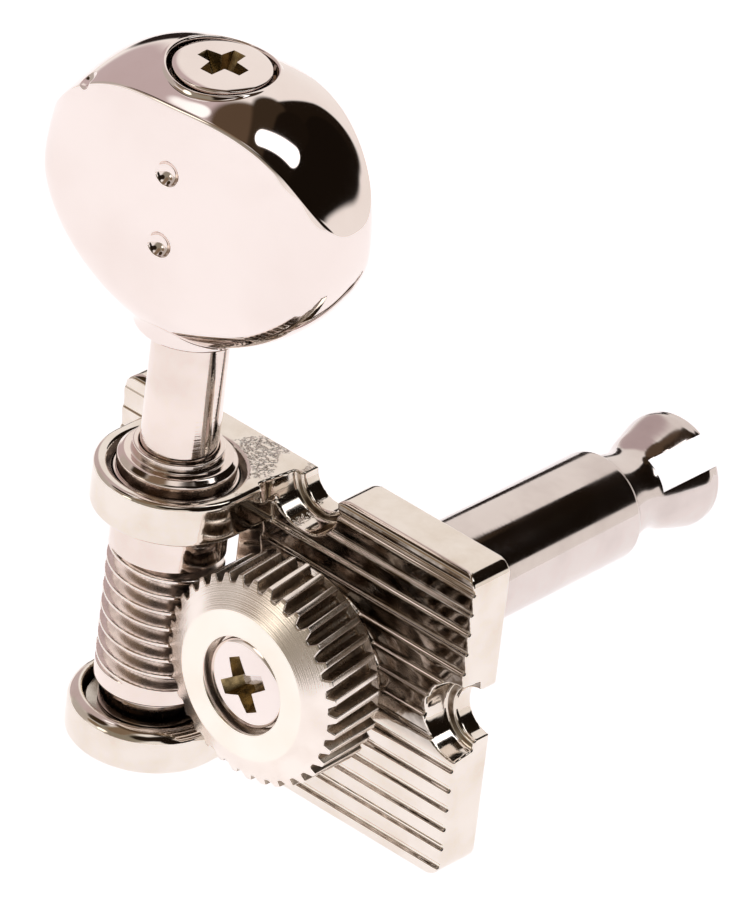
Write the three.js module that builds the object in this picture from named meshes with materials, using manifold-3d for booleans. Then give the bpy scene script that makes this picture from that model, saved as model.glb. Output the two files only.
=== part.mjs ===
// Open-gear tuning machine for a guitar headstock, in millimetres.
// Origin: on the plate's back (mounting) face, where the string post's axis crosses it.
// +Z runs up the worm towards the button, +Y along the string post away from the gear,
// +X along the plate's ridges, away from the worm.

import * as THREE from 'three';
import { mergeVertices } from 'three/addons/utils/BufferGeometryUtils.js';
import Module from 'manifold-3d';

const wasm = await Module();
wasm.setup();

// Running and seating clearances
const RUNNING_GAP = 0.05;
const SEAT_GAP = 0.05;
const END_FLOAT = 0.1;
const CUT_OVERRUN = 1;

// Worm and gear: a left-hand worm with two starts, 36 teeth, so 18 turns to one
const GEAR_TEETH = 36;
const WORM_STARTS = 2;
const TOOTH_SPACING = 1.005;
const ADDENDUM = 0.34;
const DEDENDUM = 0.44;
const PRESSURE_ANGLE = THREE.MathUtils.degToRad(20);
const WORM_OUTER_RADIUS = 3.2;
const GEAR_TOOTH_THICKNESS = 0.46;
const THREAD_THICKNESS = 0.43;
const GEAR_TURN = THREE.MathUtils.degToRad(95.2);

const LEAD = WORM_STARTS * TOOTH_SPACING;
const GEAR_PITCH_RADIUS = GEAR_TEETH * TOOTH_SPACING / (2 * Math.PI);
const GEAR_TIP_RADIUS = GEAR_PITCH_RADIUS + ADDENDUM;
const GEAR_ROOT_RADIUS = GEAR_PITCH_RADIUS - DEDENDUM;
const WORM_PITCH_RADIUS = WORM_OUTER_RADIUS - ADDENDUM;
const WORM_ROOT_RADIUS = WORM_PITCH_RADIUS - DEDENDUM;
const TEETH_SLANT = LEAD / (2 * Math.PI * WORM_PITCH_RADIUS);

// Base casting: plate with stepped ridges
const PLATE_THICKNESS = 2.15;
const RIDGE_HEIGHT = 0.75;
const RIDGE_SPACING = 1.245;
const RIDGE_TOP_MARGIN = 1.11;
const RIDGE_BLUNT = 0.1;
const TOP_EDGE_ROUNDING = 0.55;
const PLATE_TO_RIGHT_EDGE = 10.25;
const PLATE_TO_LEFT_EDGE = 15.75;
const PLATE_HALF_HEIGHT = 9.63;
const PLATE_CORNER_RADIUS = 1.2;
const PLATE_SHARP_CORNER_RADIUS = 0.25;
const RIDGES_START_FROM_WORM = 3.85;
const LEFT_RIDGES_WIDTH = 3.2;
const LEFT_RIDGE_HEIGHT = 0.3;
const WINDOW_HALF_WIDTH = 2.25;
const WINDOW_HALF_HEIGHT = 5.1;
const WINDOW_CORNER_RADIUS = 0.8;

// Screw notches in the plate's edges
const SCREW_HOLE_RADIUS = 1.6;
const SIDE_SEAT_RADIUS = 2.2;
const SEAT_WALL_FLARE = 0.35;
const SEAT_EDGE_CHAMFER = 0.15;
const SIDE_NOTCH_HEIGHT = 0.3;
const TOP_SEAT_RADIUS = 2.15;
const TOP_NOTCH_FROM_POST = 2;
const TOP_NOTCH_DEPTH = 0.9;
const TOP_NOTCH_CORNER_RADIUS = 1;
const SEAT_THICKNESS = 1.25;

// Bearing lugs that carry the worm
const WORM_AXIS_FROM_FACE = 5.8;
const LUG_RADIUS = 4.5;
const UPPER_LUG_BOTTOM = 6.05;
const UPPER_LUG_TOP = 8.62;
const LOWER_LUG_TOP = 5.95;
const LOWER_LUG_BOTTOM = 8.58;
const UPPER_LUG_ROUNDING = 0.3;
const LOWER_LUG_ROUNDING = 0.8;
const LUG_FILLET = 0.7;
const UPPER_BORE_RADIUS = 3.45;
const UPPER_BORE_CHAMFER = 0.45;
const LOWER_COUNTERBORE_RADIUS = 3.7;
const LOWER_COUNTERBORE_DEPTH = 1.1;

// String post
const POST_RADIUS = 3.175;
const POST_LENGTH = 20.15;
const POST_EDGE_RADIUS = 0.45;
const POST_TIP = 26.55;
const WAIST_RADIUS = 2.33;
const WAIST_FROM_SHOULDER = 2.2;
const FLARE_RADIUS = 3.25;
const FLARE_FROM_TIP = 1.1;
const TIP_ROUNDING = 0.5;
const STRING_SLOT_WIDTH = 1.95;
const STRING_SLOT_DEPTH = 3.8;
const STRING_HOLE_RADIUS = 0.95;
const STRING_HOLE_DEPTH = 11;
const SLOT_TURN = THREE.MathUtils.degToRad(45);
const JOURNAL_RADIUS = 2.5;
const DRIVE_FLAT = 1.95;
const POST_RECESS_DEPTH = 0.25;
const POST_RECESS_GAP = 0.15;

// Gear blank and the stack that it clamps
const BOSS_RADIUS = 4.4;
const GEAR_WASHER_RADIUS = 4.2;
const GEAR_WASHER_THICKNESS = 0.35;
const GEAR_HUB_RADIUS = 4;
const GEAR_HUB_HEIGHT = 0.55;
const GEAR_FLANGE_RADIUS = 5.6;
const GEAR_FLANGE_THICKNESS = 0.5;
const GEAR_TEETH_WIDTH = 3.42;
const GEAR_FACE_RADIUS = 4.28;
const GEAR_CHAMFER_DEPTH = 0.88;
const GEAR_RECESS_RADIUS = 2.8;
const GEAR_RECESS_DEPTH = 1.1;
const GEAR_SCREW_HEAD_RADIUS = 2.58;
const GEAR_SCREW_HEAD_HEIGHT = 0.75;
const GEAR_SCREW_DOME = 0.22;
const DOME_HALFWAY_SHARE = 0.75;
const GEAR_SCREW_RADIUS = 1.5;
const GEAR_SCREW_LENGTH = 6;

// Worm shaft
const STEM_RADIUS = 2.13;
const THREAD_TOP = 3.6;
const THREAD_BOTTOM = 4;
const LOWER_BAND_BOTTOM = 5;
const BAND_CHAMFER = 0.15;
const GROOVE_RADIUS = 2.85;
const PIVOT_RADIUS = 2.2;
const PIVOT_CHAMFER = 0.25;
const THRUST_WASHER_RADIUS = 3.45;
const THRUST_WASHER_THICKNESS = 0.4;
const TANG_RADIUS = 1.9;
const TANG_FLAT = 1.5;
const TANG_BELOW_WELL = 2.7;
const STEM_IN_BUTTON = 2.85;

// Upper bearing bush, a turned piece pressed into the upper lug
const BUSH_BOTTOM = 6.4;
const BUSH_COLLAR_RADIUS = 3.27;
const BUSH_COLLAR_START = 8.2;
const BUSH_COLLAR_TOP = 9.05;
const BUSH_BEVEL = 0.31;
const BUSH_STEP_RADIUS = 2.5;
const BUSH_STEP_ROUNDING = 0.12;
const BUSH_TOP = 9.95;

// Button
const BUTTON_TURN = THREE.MathUtils.degToRad(7);
const BUTTON_HALF_WIDTH = 9.65;
const BUTTON_CENTRE_HEIGHT = 24.95;
const BUTTON_RISE = 15;
const BUTTON_DROP = 7.9;
const BUTTON_HALF_THICKNESS = 4.17;
const BUTTON_OUTLINE_POWER = 1.72;
const BUTTON_FACE_POWER = 4.05;
const BUTTON_RIM_POWER = 2.4;
const BUTTON_ROOF_RISE = 8.7;
const BUTTON_ROOF_SIDE_FALL = 6.8;
const BUTTON_ROOF_SIDE_POWER = 3;
const BUTTON_ROOF_FACE_FALL = 1.3;
const BUTTON_NECK_RADIUS = 3.25;
const BUTTON_NECK_DROP = 7.45;
const SCREW_WELL_RADIUS = 2.95;
const SCREW_WELL_CHAMFER = 0.35;
const SCREW_WELL_BELOW_ROOF = 0.2;
const SCREW_WELL_DEPTH = 1.35;
const BUTTON_WASHER_RADIUS = 2.82;
const BUTTON_WASHER_THICKNESS = 0.3;
const BUTTON_SCREW_HEAD_RADIUS = 2.7;
const BUTTON_SCREW_HEAD_HEIGHT = 0.75;
const BUTTON_SCREW_DOME = 0.3;
const BUTTON_SCREW_RADIUS = 1.25;
const BUTTON_SCREW_LENGTH = 8;

// Fineness of the curves, in steps
const TURN_STEPS = 36;
const THREAD_STEPS = 32;
const ARC_STEPS = 4;
const BUTTON_TURN_STEPS = 36;
const BUTTON_FACE_STEPS = 7;
const BUTTON_ROOF_STEPS = 8;

// Places worked out from the sizes above
const wormX = -(GEAR_PITCH_RADIUS + WORM_PITCH_RADIUS);
const wormY = -WORM_AXIS_FROM_FACE;
const ridgeTip = PLATE_THICKNESS + RIDGE_HEIGHT;
const ridgeCount = 1 + Math.floor((2 * PLATE_HALF_HEIGHT - RIDGE_TOP_MARGIN) / RIDGE_SPACING);
const bossFace = -(ridgeTip + SEAT_GAP);
const gearWasherBack = bossFace - SEAT_GAP;
const gearHubBack = gearWasherBack - GEAR_WASHER_THICKNESS - SEAT_GAP;
const gearFlangeBack = gearHubBack - GEAR_HUB_HEIGHT;
const teethBack = gearFlangeBack - GEAR_FLANGE_THICKNESS;
const teethFront = teethBack - GEAR_TEETH_WIDTH;
const gearFront = teethFront - GEAR_CHAMFER_DEPTH;
const gearRecessFloor = gearFront + GEAR_RECESS_DEPTH;
const buttonBottom = BUTTON_CENTRE_HEIGHT - BUTTON_NECK_DROP;
const buttonRoofTop = BUTTON_CENTRE_HEIGHT + BUTTON_ROOF_RISE;
const wellRim = buttonRoofTop - SCREW_WELL_BELOW_ROOF;
const wellFloor = wellRim - SCREW_WELL_DEPTH;
const stemTop = buttonBottom + STEM_IN_BUTTON;
const tangTop = wellFloor - TANG_BELOW_WELL;

// Materials, with the colours that the metal shows in the photograph
const nickel = new THREE.MeshStandardMaterial({ color: 0xd9d2cb, roughness: 0.16, metalness: 1 });
const castNickel = new THREE.MeshStandardMaterial({ color: 0xcfc6ba, roughness: 0.26, metalness: 1 });
const cutNickel = new THREE.MeshStandardMaterial({ color: 0xc9bfb4, roughness: 0.32, metalness: 1 });
const washerSteel = new THREE.MeshStandardMaterial({ color: 0xb9b4ac, roughness: 0.35, metalness: 1 });

// A closed geometry becomes a solid that can be joined and cut.
function solidOf(geometry) {
  const bare = geometry.index ? geometry.clone() : geometry;
  bare.deleteAttribute('normal');
  bare.deleteAttribute('uv');
  const merged = mergeVertices(bare);
  const places = merged.getAttribute('position').array;
  const index = merged.index.array;
  const kept = [];
  let volume = 0;
  for (let i = 0; i < index.length; i += 3) {
    const [a, b, c] = [index[i], index[i + 1], index[i + 2]];
    if (a === b || b === c || c === a) {
      continue;
    }
    kept.push(a, b, c);
    const [p, q, r] = [a, b, c].map((k) => new THREE.Vector3().fromArray(places, 3 * k));
    volume += p.dot(q.cross(r));
  }
  if (volume < 0) {
    kept.reverse();
  }
  const mesh = new wasm.Mesh({
    numProp: 3,
    vertProperties: new Float32Array(places),
    triVerts: new Uint32Array(kept),
  });
  return new wasm.Manifold(mesh);
}

// A solid becomes one named mesh of the finished group.
function piece(name, solid, material) {
  const { vertProperties, triVerts } = solid.getMesh();
  const geometry = new THREE.BufferGeometry();
  geometry.setAttribute('position', new THREE.BufferAttribute(vertProperties, 3));
  geometry.setIndex(new THREE.BufferAttribute(triVerts, 1));
  geometry.computeVertexNormals();
  const mesh = new THREE.Mesh(geometry, material);
  mesh.name = name;
  return mesh;
}

// Turned solids: the profile is a list of [radius, place along the axis], from axis to axis.
function turnedAlongY(profile, steps = TURN_STEPS) {
  const points = profile.map(([radius, place]) => new THREE.Vector2(radius, place));
  return solidOf(new THREE.LatheGeometry(points, steps));
}

function turnedAlongZ(profile, steps = TURN_STEPS) {
  const points = profile.map(([radius, place]) => new THREE.Vector2(radius, place));
  return solidOf(new THREE.LatheGeometry(points, steps).rotateX(Math.PI / 2));
}

function rodAlongY(radius, from, to, steps = TURN_STEPS) {
  return turnedAlongY([[0, from], [radius, from], [radius, to], [0, to]], steps);
}

function rodAlongZ(radius, from, to, steps = TURN_STEPS) {
  return turnedAlongZ([[0, from], [radius, from], [radius, to], [0, to]], steps);
}

// Flat outlines extruded along one axis. An outline along Y is drawn in (x, z), one along X in (y, z),
// and one along Z in (x, y).
function prismAlongY(shape, from, to) {
  const options = { depth: to - from, bevelEnabled: false, curveSegments: ARC_STEPS };
  return solidOf(new THREE.ExtrudeGeometry(shape, options).rotateX(Math.PI / 2).translate(0, to, 0));
}

function prismAlongX(shape, from, to) {
  const options = { depth: to - from, bevelEnabled: false, curveSegments: ARC_STEPS };
  const geometry = new THREE.ExtrudeGeometry(shape, options);
  return solidOf(geometry.rotateX(Math.PI / 2).rotateZ(Math.PI / 2).translate(from, 0, 0));
}

function prismAlongZ(shape, from, to) {
  const options = { depth: to - from, bevelEnabled: false, curveSegments: ARC_STEPS };
  return solidOf(new THREE.ExtrudeGeometry(shape, options).translate(0, 0, from));
}

// A rectangle with round corners; `radii` runs from the lower left corner round to the upper left.
function roundedRectangle(left, right, bottom, top, radii) {
  const [lowLeft, lowRight, highRight, highLeft] = radii;
  const shape = new THREE.Shape();
  shape.moveTo(left + lowLeft, bottom);
  shape.lineTo(right - lowRight, bottom);
  if (lowRight > 0) {
    shape.absarc(right - lowRight, bottom + lowRight, lowRight, -Math.PI / 2, 0);
  }
  shape.lineTo(right, top - highRight);
  if (highRight > 0) {
    shape.absarc(right - highRight, top - highRight, highRight, 0, Math.PI / 2);
  }
  shape.lineTo(left + highLeft, top);
  if (highLeft > 0) {
    shape.absarc(left + highLeft, top - highLeft, highLeft, Math.PI / 2, Math.PI);
  }
  shape.lineTo(left, bottom + lowLeft);
  if (lowLeft > 0) {
    shape.absarc(left + lowLeft, bottom + lowLeft, lowLeft, Math.PI, 1.5 * Math.PI);
  }
  return shape;
}

// Points on a quarter circle, from one angle to another, for a turned profile.
function quarter(centreRadius, centrePlace, radius, from, to) {
  const points = [];
  for (let i = 0; i <= ARC_STEPS; i += 1) {
    const angle = THREE.MathUtils.lerp(from, to, i / ARC_STEPS);
    points.push([centreRadius + radius * Math.cos(angle), centrePlace + radius * Math.sin(angle)]);
  }
  return points;
}

// Base casting

// Each ridge stands proud along its upper ledge and falls back to the plate at the next ledge down.
function ridgeOutline() {
  const shape = new THREE.Shape();
  const top = PLATE_HALF_HEIGHT;
  shape.moveTo(CUT_OVERRUN, -top);
  shape.lineTo(CUT_OVERRUN, top);
  shape.lineTo(-(ridgeTip - TOP_EDGE_ROUNDING), top);
  shape.quadraticCurveTo(-ridgeTip, top, -ridgeTip, top - TOP_EDGE_ROUNDING);
  for (let ridge = 0; ridge < ridgeCount; ridge += 1) {
    const ledge = top - RIDGE_TOP_MARGIN - ridge * RIDGE_SPACING;
    shape.lineTo(-PLATE_THICKNESS, ledge);
    shape.lineTo(-(ridgeTip - RIDGE_BLUNT), ledge);
    shape.lineTo(-ridgeTip, ledge - RIDGE_BLUNT);
  }
  const lastLedge = top - RIDGE_TOP_MARGIN - (ridgeCount - 1) * RIDGE_SPACING;
  const lastShare = (lastLedge + top) / RIDGE_SPACING;
  shape.lineTo(-(ridgeTip - RIDGE_HEIGHT * lastShare), -top);
  return shape;
}

function lugSolid(bottom, top, upRounding, downRounding) {
  const radii = [downRounding, downRounding, upRounding, upRounding];
  const web = prismAlongY(
    roundedRectangle(wormX - LUG_RADIUS, wormX + LUG_RADIUS, bottom, top, radii), wormY, CUT_OVERRUN);
  const profile = [
    [0, bottom],
    ...quarter(LUG_RADIUS - downRounding, bottom + downRounding, downRounding, -Math.PI / 2, 0),
    ...quarter(LUG_RADIUS - upRounding, top - upRounding, upRounding, 0, Math.PI / 2),
    [0, top],
  ];
  return turnedAlongZ(profile).translate([wormX, wormY, 0]).add(web);
}

// The fillet where a lug's side meets the plate, drawn from above.
function lugFillet(side, bottom, top) {
  const foot = wormX + side * LUG_RADIUS;
  const shape = new THREE.Shape();
  shape.moveTo(foot - side * LUG_FILLET, -PLATE_THICKNESS + LUG_FILLET);
  shape.lineTo(foot + side * LUG_FILLET, -PLATE_THICKNESS + LUG_FILLET);
  shape.lineTo(foot + side * LUG_FILLET, -PLATE_THICKNESS);
  shape.quadraticCurveTo(foot, -PLATE_THICKNESS, foot, -PLATE_THICKNESS - LUG_FILLET);
  shape.lineTo(foot - side * LUG_FILLET, -PLATE_THICKNESS - LUG_FILLET);
  return prismAlongZ(shape, bottom, top);
}

function screwNotch(x, z, seatRadius) {
  const front = -(ridgeTip + CUT_OVERRUN);
  const cutter = turnedAlongY([
    [0, front],
    [seatRadius + SEAT_WALL_FLARE, front],
    [seatRadius, -SEAT_THICKNESS],
    [SCREW_HOLE_RADIUS + SEAT_EDGE_CHAMFER, -SEAT_THICKNESS],
    [SCREW_HOLE_RADIUS, SEAT_EDGE_CHAMFER - SEAT_THICKNESS],
    [SCREW_HOLE_RADIUS, 2 * CUT_OVERRUN],
    [0, 2 * CUT_OVERRUN],
  ]);
  return cutter.translate([x, 0, z]);
}

// Above its round, the top notch opens out to a rounded corner of the plate.
function notchMouth() {
  const centre = PLATE_HALF_HEIGHT - TOP_NOTCH_DEPTH;
  const side = SCREW_HOLE_RADIUS - TOP_NOTCH_FROM_POST;
  const corner = side + TOP_NOTCH_CORNER_RADIUS;
  const shape = new THREE.Shape();
  shape.moveTo(-TOP_NOTCH_FROM_POST, centre);
  shape.lineTo(side, PLATE_HALF_HEIGHT - TOP_NOTCH_CORNER_RADIUS);
  shape.quadraticCurveTo(side, PLATE_HALF_HEIGHT, corner, PLATE_HALF_HEIGHT);
  shape.lineTo(corner, PLATE_HALF_HEIGHT + CUT_OVERRUN);
  shape.lineTo(-TOP_NOTCH_FROM_POST, PLATE_HALF_HEIGHT + CUT_OVERRUN);
  return shape;
}

// Every solid runs past the plate's back, and one last flat cut makes that face.
function baseCasting() {
  const outline = roundedRectangle(
    -PLATE_TO_LEFT_EDGE, PLATE_TO_RIGHT_EDGE, -PLATE_HALF_HEIGHT, PLATE_HALF_HEIGHT,
    [PLATE_CORNER_RADIUS, PLATE_SHARP_CORNER_RADIUS, PLATE_CORNER_RADIUS, PLATE_CORNER_RADIUS]);
  const ridges = ridgeOutline();
  const rightRidges = prismAlongX(ridges, wormX + RIDGES_START_FROM_WORM, PLATE_TO_RIGHT_EDGE);
  const leftRidges = prismAlongX(ridges, -PLATE_TO_LEFT_EDGE, LEFT_RIDGES_WIDTH - PLATE_TO_LEFT_EDGE)
    .intersect(prismAlongY(outline, -(PLATE_THICKNESS + LEFT_RIDGE_HEIGHT), CUT_OVERRUN));
  const trim = prismAlongY(outline, -(ridgeTip + CUT_OVERRUN), 2 * CUT_OVERRUN);
  const plate = prismAlongY(outline, -PLATE_THICKNESS, CUT_OVERRUN)
    .add(rightRidges.add(leftRidges).intersect(trim));

  const lowered = roundedRectangle(
    wormX - LUG_RADIUS, -TOP_NOTCH_FROM_POST, UPPER_LUG_TOP, PLATE_HALF_HEIGHT + CUT_OVERRUN, [0, 0, 0, 0]);
  const window = roundedRectangle(
    wormX - WINDOW_HALF_WIDTH, wormX + WINDOW_HALF_WIDTH, -WINDOW_HALF_HEIGHT, WINDOW_HALF_HEIGHT,
    [WINDOW_CORNER_RADIUS, WINDOW_CORNER_RADIUS, WINDOW_CORNER_RADIUS, WINDOW_CORNER_RADIUS]);
  const cutFront = -(ridgeTip + CUT_OVERRUN);

  const upperBore = turnedAlongZ([
    [0, UPPER_LUG_BOTTOM - CUT_OVERRUN],
    [UPPER_BORE_RADIUS, UPPER_LUG_BOTTOM - CUT_OVERRUN],
    [UPPER_BORE_RADIUS, UPPER_LUG_TOP - UPPER_BORE_CHAMFER],
    [UPPER_BORE_RADIUS + UPPER_BORE_CHAMFER + CUT_OVERRUN, UPPER_LUG_TOP + CUT_OVERRUN],
    [0, UPPER_LUG_TOP + CUT_OVERRUN],
  ]).translate([wormX, wormY, 0]);
  const lowerBore = turnedAlongZ([
    [0, -LOWER_LUG_BOTTOM - CUT_OVERRUN],
    [PIVOT_RADIUS + RUNNING_GAP, -LOWER_LUG_BOTTOM - CUT_OVERRUN],
    [PIVOT_RADIUS + RUNNING_GAP, -LOWER_LUG_TOP - LOWER_COUNTERBORE_DEPTH],
    [LOWER_COUNTERBORE_RADIUS, -LOWER_LUG_TOP - LOWER_COUNTERBORE_DEPTH],
    [LOWER_COUNTERBORE_RADIUS, -LOWER_LUG_TOP + CUT_OVERRUN],
    [0, -LOWER_LUG_TOP + CUT_OVERRUN],
  ]).translate([wormX, wormY, 0]);
  const postBore = rodAlongY(JOURNAL_RADIUS + RUNNING_GAP, bossFace - CUT_OVERRUN, CUT_OVERRUN);
  const shoulderRecess = rodAlongY(POST_RADIUS + POST_RECESS_GAP, -POST_RECESS_DEPTH, 2 * CUT_OVERRUN);

  return plate
    .subtract(prismAlongY(lowered, cutFront, 2 * CUT_OVERRUN))
    .subtract(prismAlongY(notchMouth(), cutFront, 2 * CUT_OVERRUN))
    .add(lugSolid(UPPER_LUG_BOTTOM, UPPER_LUG_TOP, UPPER_LUG_ROUNDING, 0))
    .add(lugSolid(-LOWER_LUG_BOTTOM, -LOWER_LUG_TOP, LOWER_LUG_ROUNDING, UPPER_LUG_ROUNDING))
    .add(lugFillet(1, UPPER_LUG_BOTTOM, UPPER_LUG_TOP - UPPER_LUG_ROUNDING))
    .add(lugFillet(1, -LOWER_LUG_BOTTOM + UPPER_LUG_ROUNDING, -LOWER_LUG_TOP - LOWER_LUG_ROUNDING))
    .add(rodAlongY(BOSS_RADIUS, bossFace, -PLATE_THICKNESS / 2))
    .subtract(prismAlongY(window, cutFront, 2 * CUT_OVERRUN))
    .subtract(upperBore)
    .subtract(lowerBore)
    .subtract(postBore)
    .subtract(shoulderRecess)
    .subtract(screwNotch(PLATE_TO_RIGHT_EDGE, SIDE_NOTCH_HEIGHT, SIDE_SEAT_RADIUS))
    .subtract(screwNotch(-PLATE_TO_LEFT_EDGE, SIDE_NOTCH_HEIGHT, SIDE_SEAT_RADIUS))
    .subtract(screwNotch(-TOP_NOTCH_FROM_POST, PLATE_HALF_HEIGHT - TOP_NOTCH_DEPTH, TOP_SEAT_RADIUS))
    .trimByPlane([0, -1, 0], 0);
}

function bearingBush() {
  const bore = STEM_RADIUS + RUNNING_GAP;
  const body = UPPER_BORE_RADIUS - SEAT_GAP;
  const shelf = BUSH_COLLAR_TOP + BUSH_BEVEL;
  return turnedAlongZ([
    [bore, BUSH_BOTTOM],
    [body, BUSH_BOTTOM],
    [body, BUSH_COLLAR_START],
    [BUSH_COLLAR_RADIUS, BUSH_COLLAR_START],
    [BUSH_COLLAR_RADIUS, BUSH_COLLAR_TOP],
    [BUSH_COLLAR_RADIUS - BUSH_BEVEL, shelf],
    [BUSH_STEP_RADIUS, shelf],
    [BUSH_STEP_RADIUS, BUSH_TOP - BUSH_STEP_ROUNDING],
    [BUSH_STEP_RADIUS - BUSH_STEP_ROUNDING, BUSH_TOP],
    [bore, BUSH_TOP],
    [bore, BUSH_BOTTOM],
  ]);
}

// Worm

// The thread's surface runs round as a helicoid: one row of points for each corner of the thread's
// section, and each row comes back `rowsPerTurn` rows lower after a full turn.
function threadedRod(bottom, top) {
  const crest = THREAD_THICKNESS - 2 * ADDENDUM * Math.tan(PRESSURE_ANGLE);
  const foot = THREAD_THICKNESS + 2 * DEDENDUM * Math.tan(PRESSURE_ANGLE);
  const section = [
    [-foot / 2, WORM_ROOT_RADIUS],
    [-crest / 2, WORM_OUTER_RADIUS],
    [crest / 2, WORM_OUTER_RADIUS],
    [foot / 2, WORM_ROOT_RADIUS],
  ];
  const meetingTooth = Math.round((Math.PI - toothTurnAt(wormY)) / (2 * Math.PI / GEAR_TEETH));
  const meetingTurn = toothTurnAt(wormY) + meetingTooth * 2 * Math.PI / GEAR_TEETH;
  const firstCrest = GEAR_PITCH_RADIUS * Math.sin(meetingTurn) + TOOTH_SPACING / 2;
  const below = Math.ceil((firstCrest - bottom) / TOOTH_SPACING) + WORM_STARTS;
  const pitches = below + Math.ceil((top - firstCrest) / TOOTH_SPACING) + 2 * WORM_STARTS;
  const rows = pitches * section.length;
  const rowsPerTurn = WORM_STARTS * section.length;
  const corner = (column, row) => {
    const [offset, radius] = section[row % section.length];
    const height = firstCrest + (Math.floor(row / section.length) - below) * TOOTH_SPACING + offset;
    const angle = 2 * Math.PI * column / THREAD_STEPS;
    return [radius * Math.cos(angle), radius * Math.sin(angle), height - LEAD * column / THREAD_STEPS];
  };
  const places = [];
  const triangle = (a, b, c) => places.push(...a, ...b, ...c);
  for (let column = 0; column < THREAD_STEPS; column += 1) {
    const lastColumn = column === THREAD_STEPS - 1;
    for (let row = 0; row < rows - 1; row += 1) {
      const wraps = lastColumn && row >= rowsPerTurn;
      const next = (k) => (wraps ? corner(0, k - rowsPerTurn) : corner(column + 1, k));
      triangle(corner(column, row), next(row), next(row + 1));
      triangle(corner(column, row), next(row + 1), corner(column, row + 1));
    }
  }
  const low = [0, 0, corner(THREAD_STEPS, 0)[2] - TOOTH_SPACING];
  const high = [0, 0, corner(0, rows - 1)[2] + TOOTH_SPACING];
  for (let column = 0; column < THREAD_STEPS; column += 1) {
    triangle(low, corner(column + 1, 0), corner(column, 0));
    triangle(high, corner(column, rows - 1), corner(column + 1, rows - 1));
  }
  for (let row = 0; row < rowsPerTurn; row += 1) {
    const start = rows - 1 - rowsPerTurn + row;
    triangle(low, corner(THREAD_STEPS, row + 1), corner(THREAD_STEPS, row));
    triangle(high, corner(0, start), corner(0, start + 1));
  }
  const rounded = places.map((value) => Math.fround(value));
  const geometry = new THREE.BufferGeometry();
  geometry.setAttribute('position', new THREE.BufferAttribute(new Float32Array(rounded), 3));
  const trim = rodAlongZ(WORM_OUTER_RADIUS + CUT_OVERRUN, bottom, top);
  return solidOf(geometry).intersect(trim);
}

// A round bar with two flats, for the tang in the button and the drive in the gear.
function flattedRod(radius, flat, from, to) {
  const slab = roundedRectangle(-radius, radius, -flat, flat, [0, 0, 0, 0]);
  return rodAlongZ(radius, from, to).intersect(prismAlongZ(slab, from, to));
}

function wormShaft() {
  const pivotEnd = -LOWER_LUG_BOTTOM + END_FLOAT;
  const thrustFace = -LOWER_LUG_TOP - LOWER_COUNTERBORE_DEPTH + THRUST_WASHER_THICKNESS + 2 * SEAT_GAP;
  const lowerEnd = turnedAlongZ([
    [0, pivotEnd],
    [PIVOT_RADIUS - PIVOT_CHAMFER, pivotEnd],
    [PIVOT_RADIUS, pivotEnd + PIVOT_CHAMFER],
    [PIVOT_RADIUS, thrustFace],
    [GROOVE_RADIUS, thrustFace],
    [GROOVE_RADIUS, -LOWER_BAND_BOTTOM],
    [WORM_OUTER_RADIUS - BAND_CHAMFER, -LOWER_BAND_BOTTOM],
    [WORM_OUTER_RADIUS, -LOWER_BAND_BOTTOM + BAND_CHAMFER],
    [WORM_OUTER_RADIUS, -THREAD_BOTTOM],
    [0, -THREAD_BOTTOM],
  ], THREAD_STEPS);
  const shoulder = BUSH_BOTTOM - END_FLOAT;
  const upperEnd = turnedAlongZ([
    [0, THREAD_TOP],
    [WORM_OUTER_RADIUS, THREAD_TOP],
    [WORM_OUTER_RADIUS, shoulder - BAND_CHAMFER],
    [WORM_OUTER_RADIUS - BAND_CHAMFER, shoulder],
    [STEM_RADIUS, shoulder],
    [STEM_RADIUS, stemTop],
    [0, stemTop],
  ], THREAD_STEPS);
  const tang = flattedRod(TANG_RADIUS, TANG_FLAT, buttonBottom, tangTop)
    .rotate([0, 0, THREE.MathUtils.radToDeg(BUTTON_TURN)]);
  const thread = threadedRod(-THREAD_BOTTOM, THREAD_TOP);
  const screwHole = rodAlongZ(
    BUTTON_SCREW_RADIUS + SEAT_GAP, buttonScrewEnd() - SEAT_GAP - END_FLOAT, tangTop + CUT_OVERRUN);
  return thread.add(lowerEnd).add(upperEnd).add(tang).subtract(screwHole);
}

function thrustWasher() {
  const bottom = -LOWER_LUG_TOP - LOWER_COUNTERBORE_DEPTH + SEAT_GAP;
  const top = bottom + THRUST_WASHER_THICKNESS;
  const hole = PIVOT_RADIUS + 2 * RUNNING_GAP;
  return turnedAlongZ([
    [hole, bottom],
    [THRUST_WASHER_RADIUS, bottom],
    [THRUST_WASHER_RADIUS, top],
    [hole, top],
    [hole, bottom],
  ]);
}

// Gear

// Where the reference tooth stands, as an angle from +X towards +Z, at a place along the post's axis.
function toothTurnAt(y) {
  return GEAR_TURN + (y - teethFront) * TEETH_SLANT / GEAR_PITCH_RADIUS;
}

// Half the angle that a tooth fills at a radius: an involute above the base circle, radial below it.
function halfToothAngle(radius) {
  const baseRadius = GEAR_PITCH_RADIUS * Math.cos(PRESSURE_ANGLE);
  const involute = (angle) => Math.tan(angle) - angle;
  const angle = Math.acos(Math.min(1, baseRadius / Math.max(radius, baseRadius)));
  return GEAR_TOOTH_THICKNESS / (2 * GEAR_PITCH_RADIUS) + involute(PRESSURE_ANGLE) - involute(angle);
}

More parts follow.
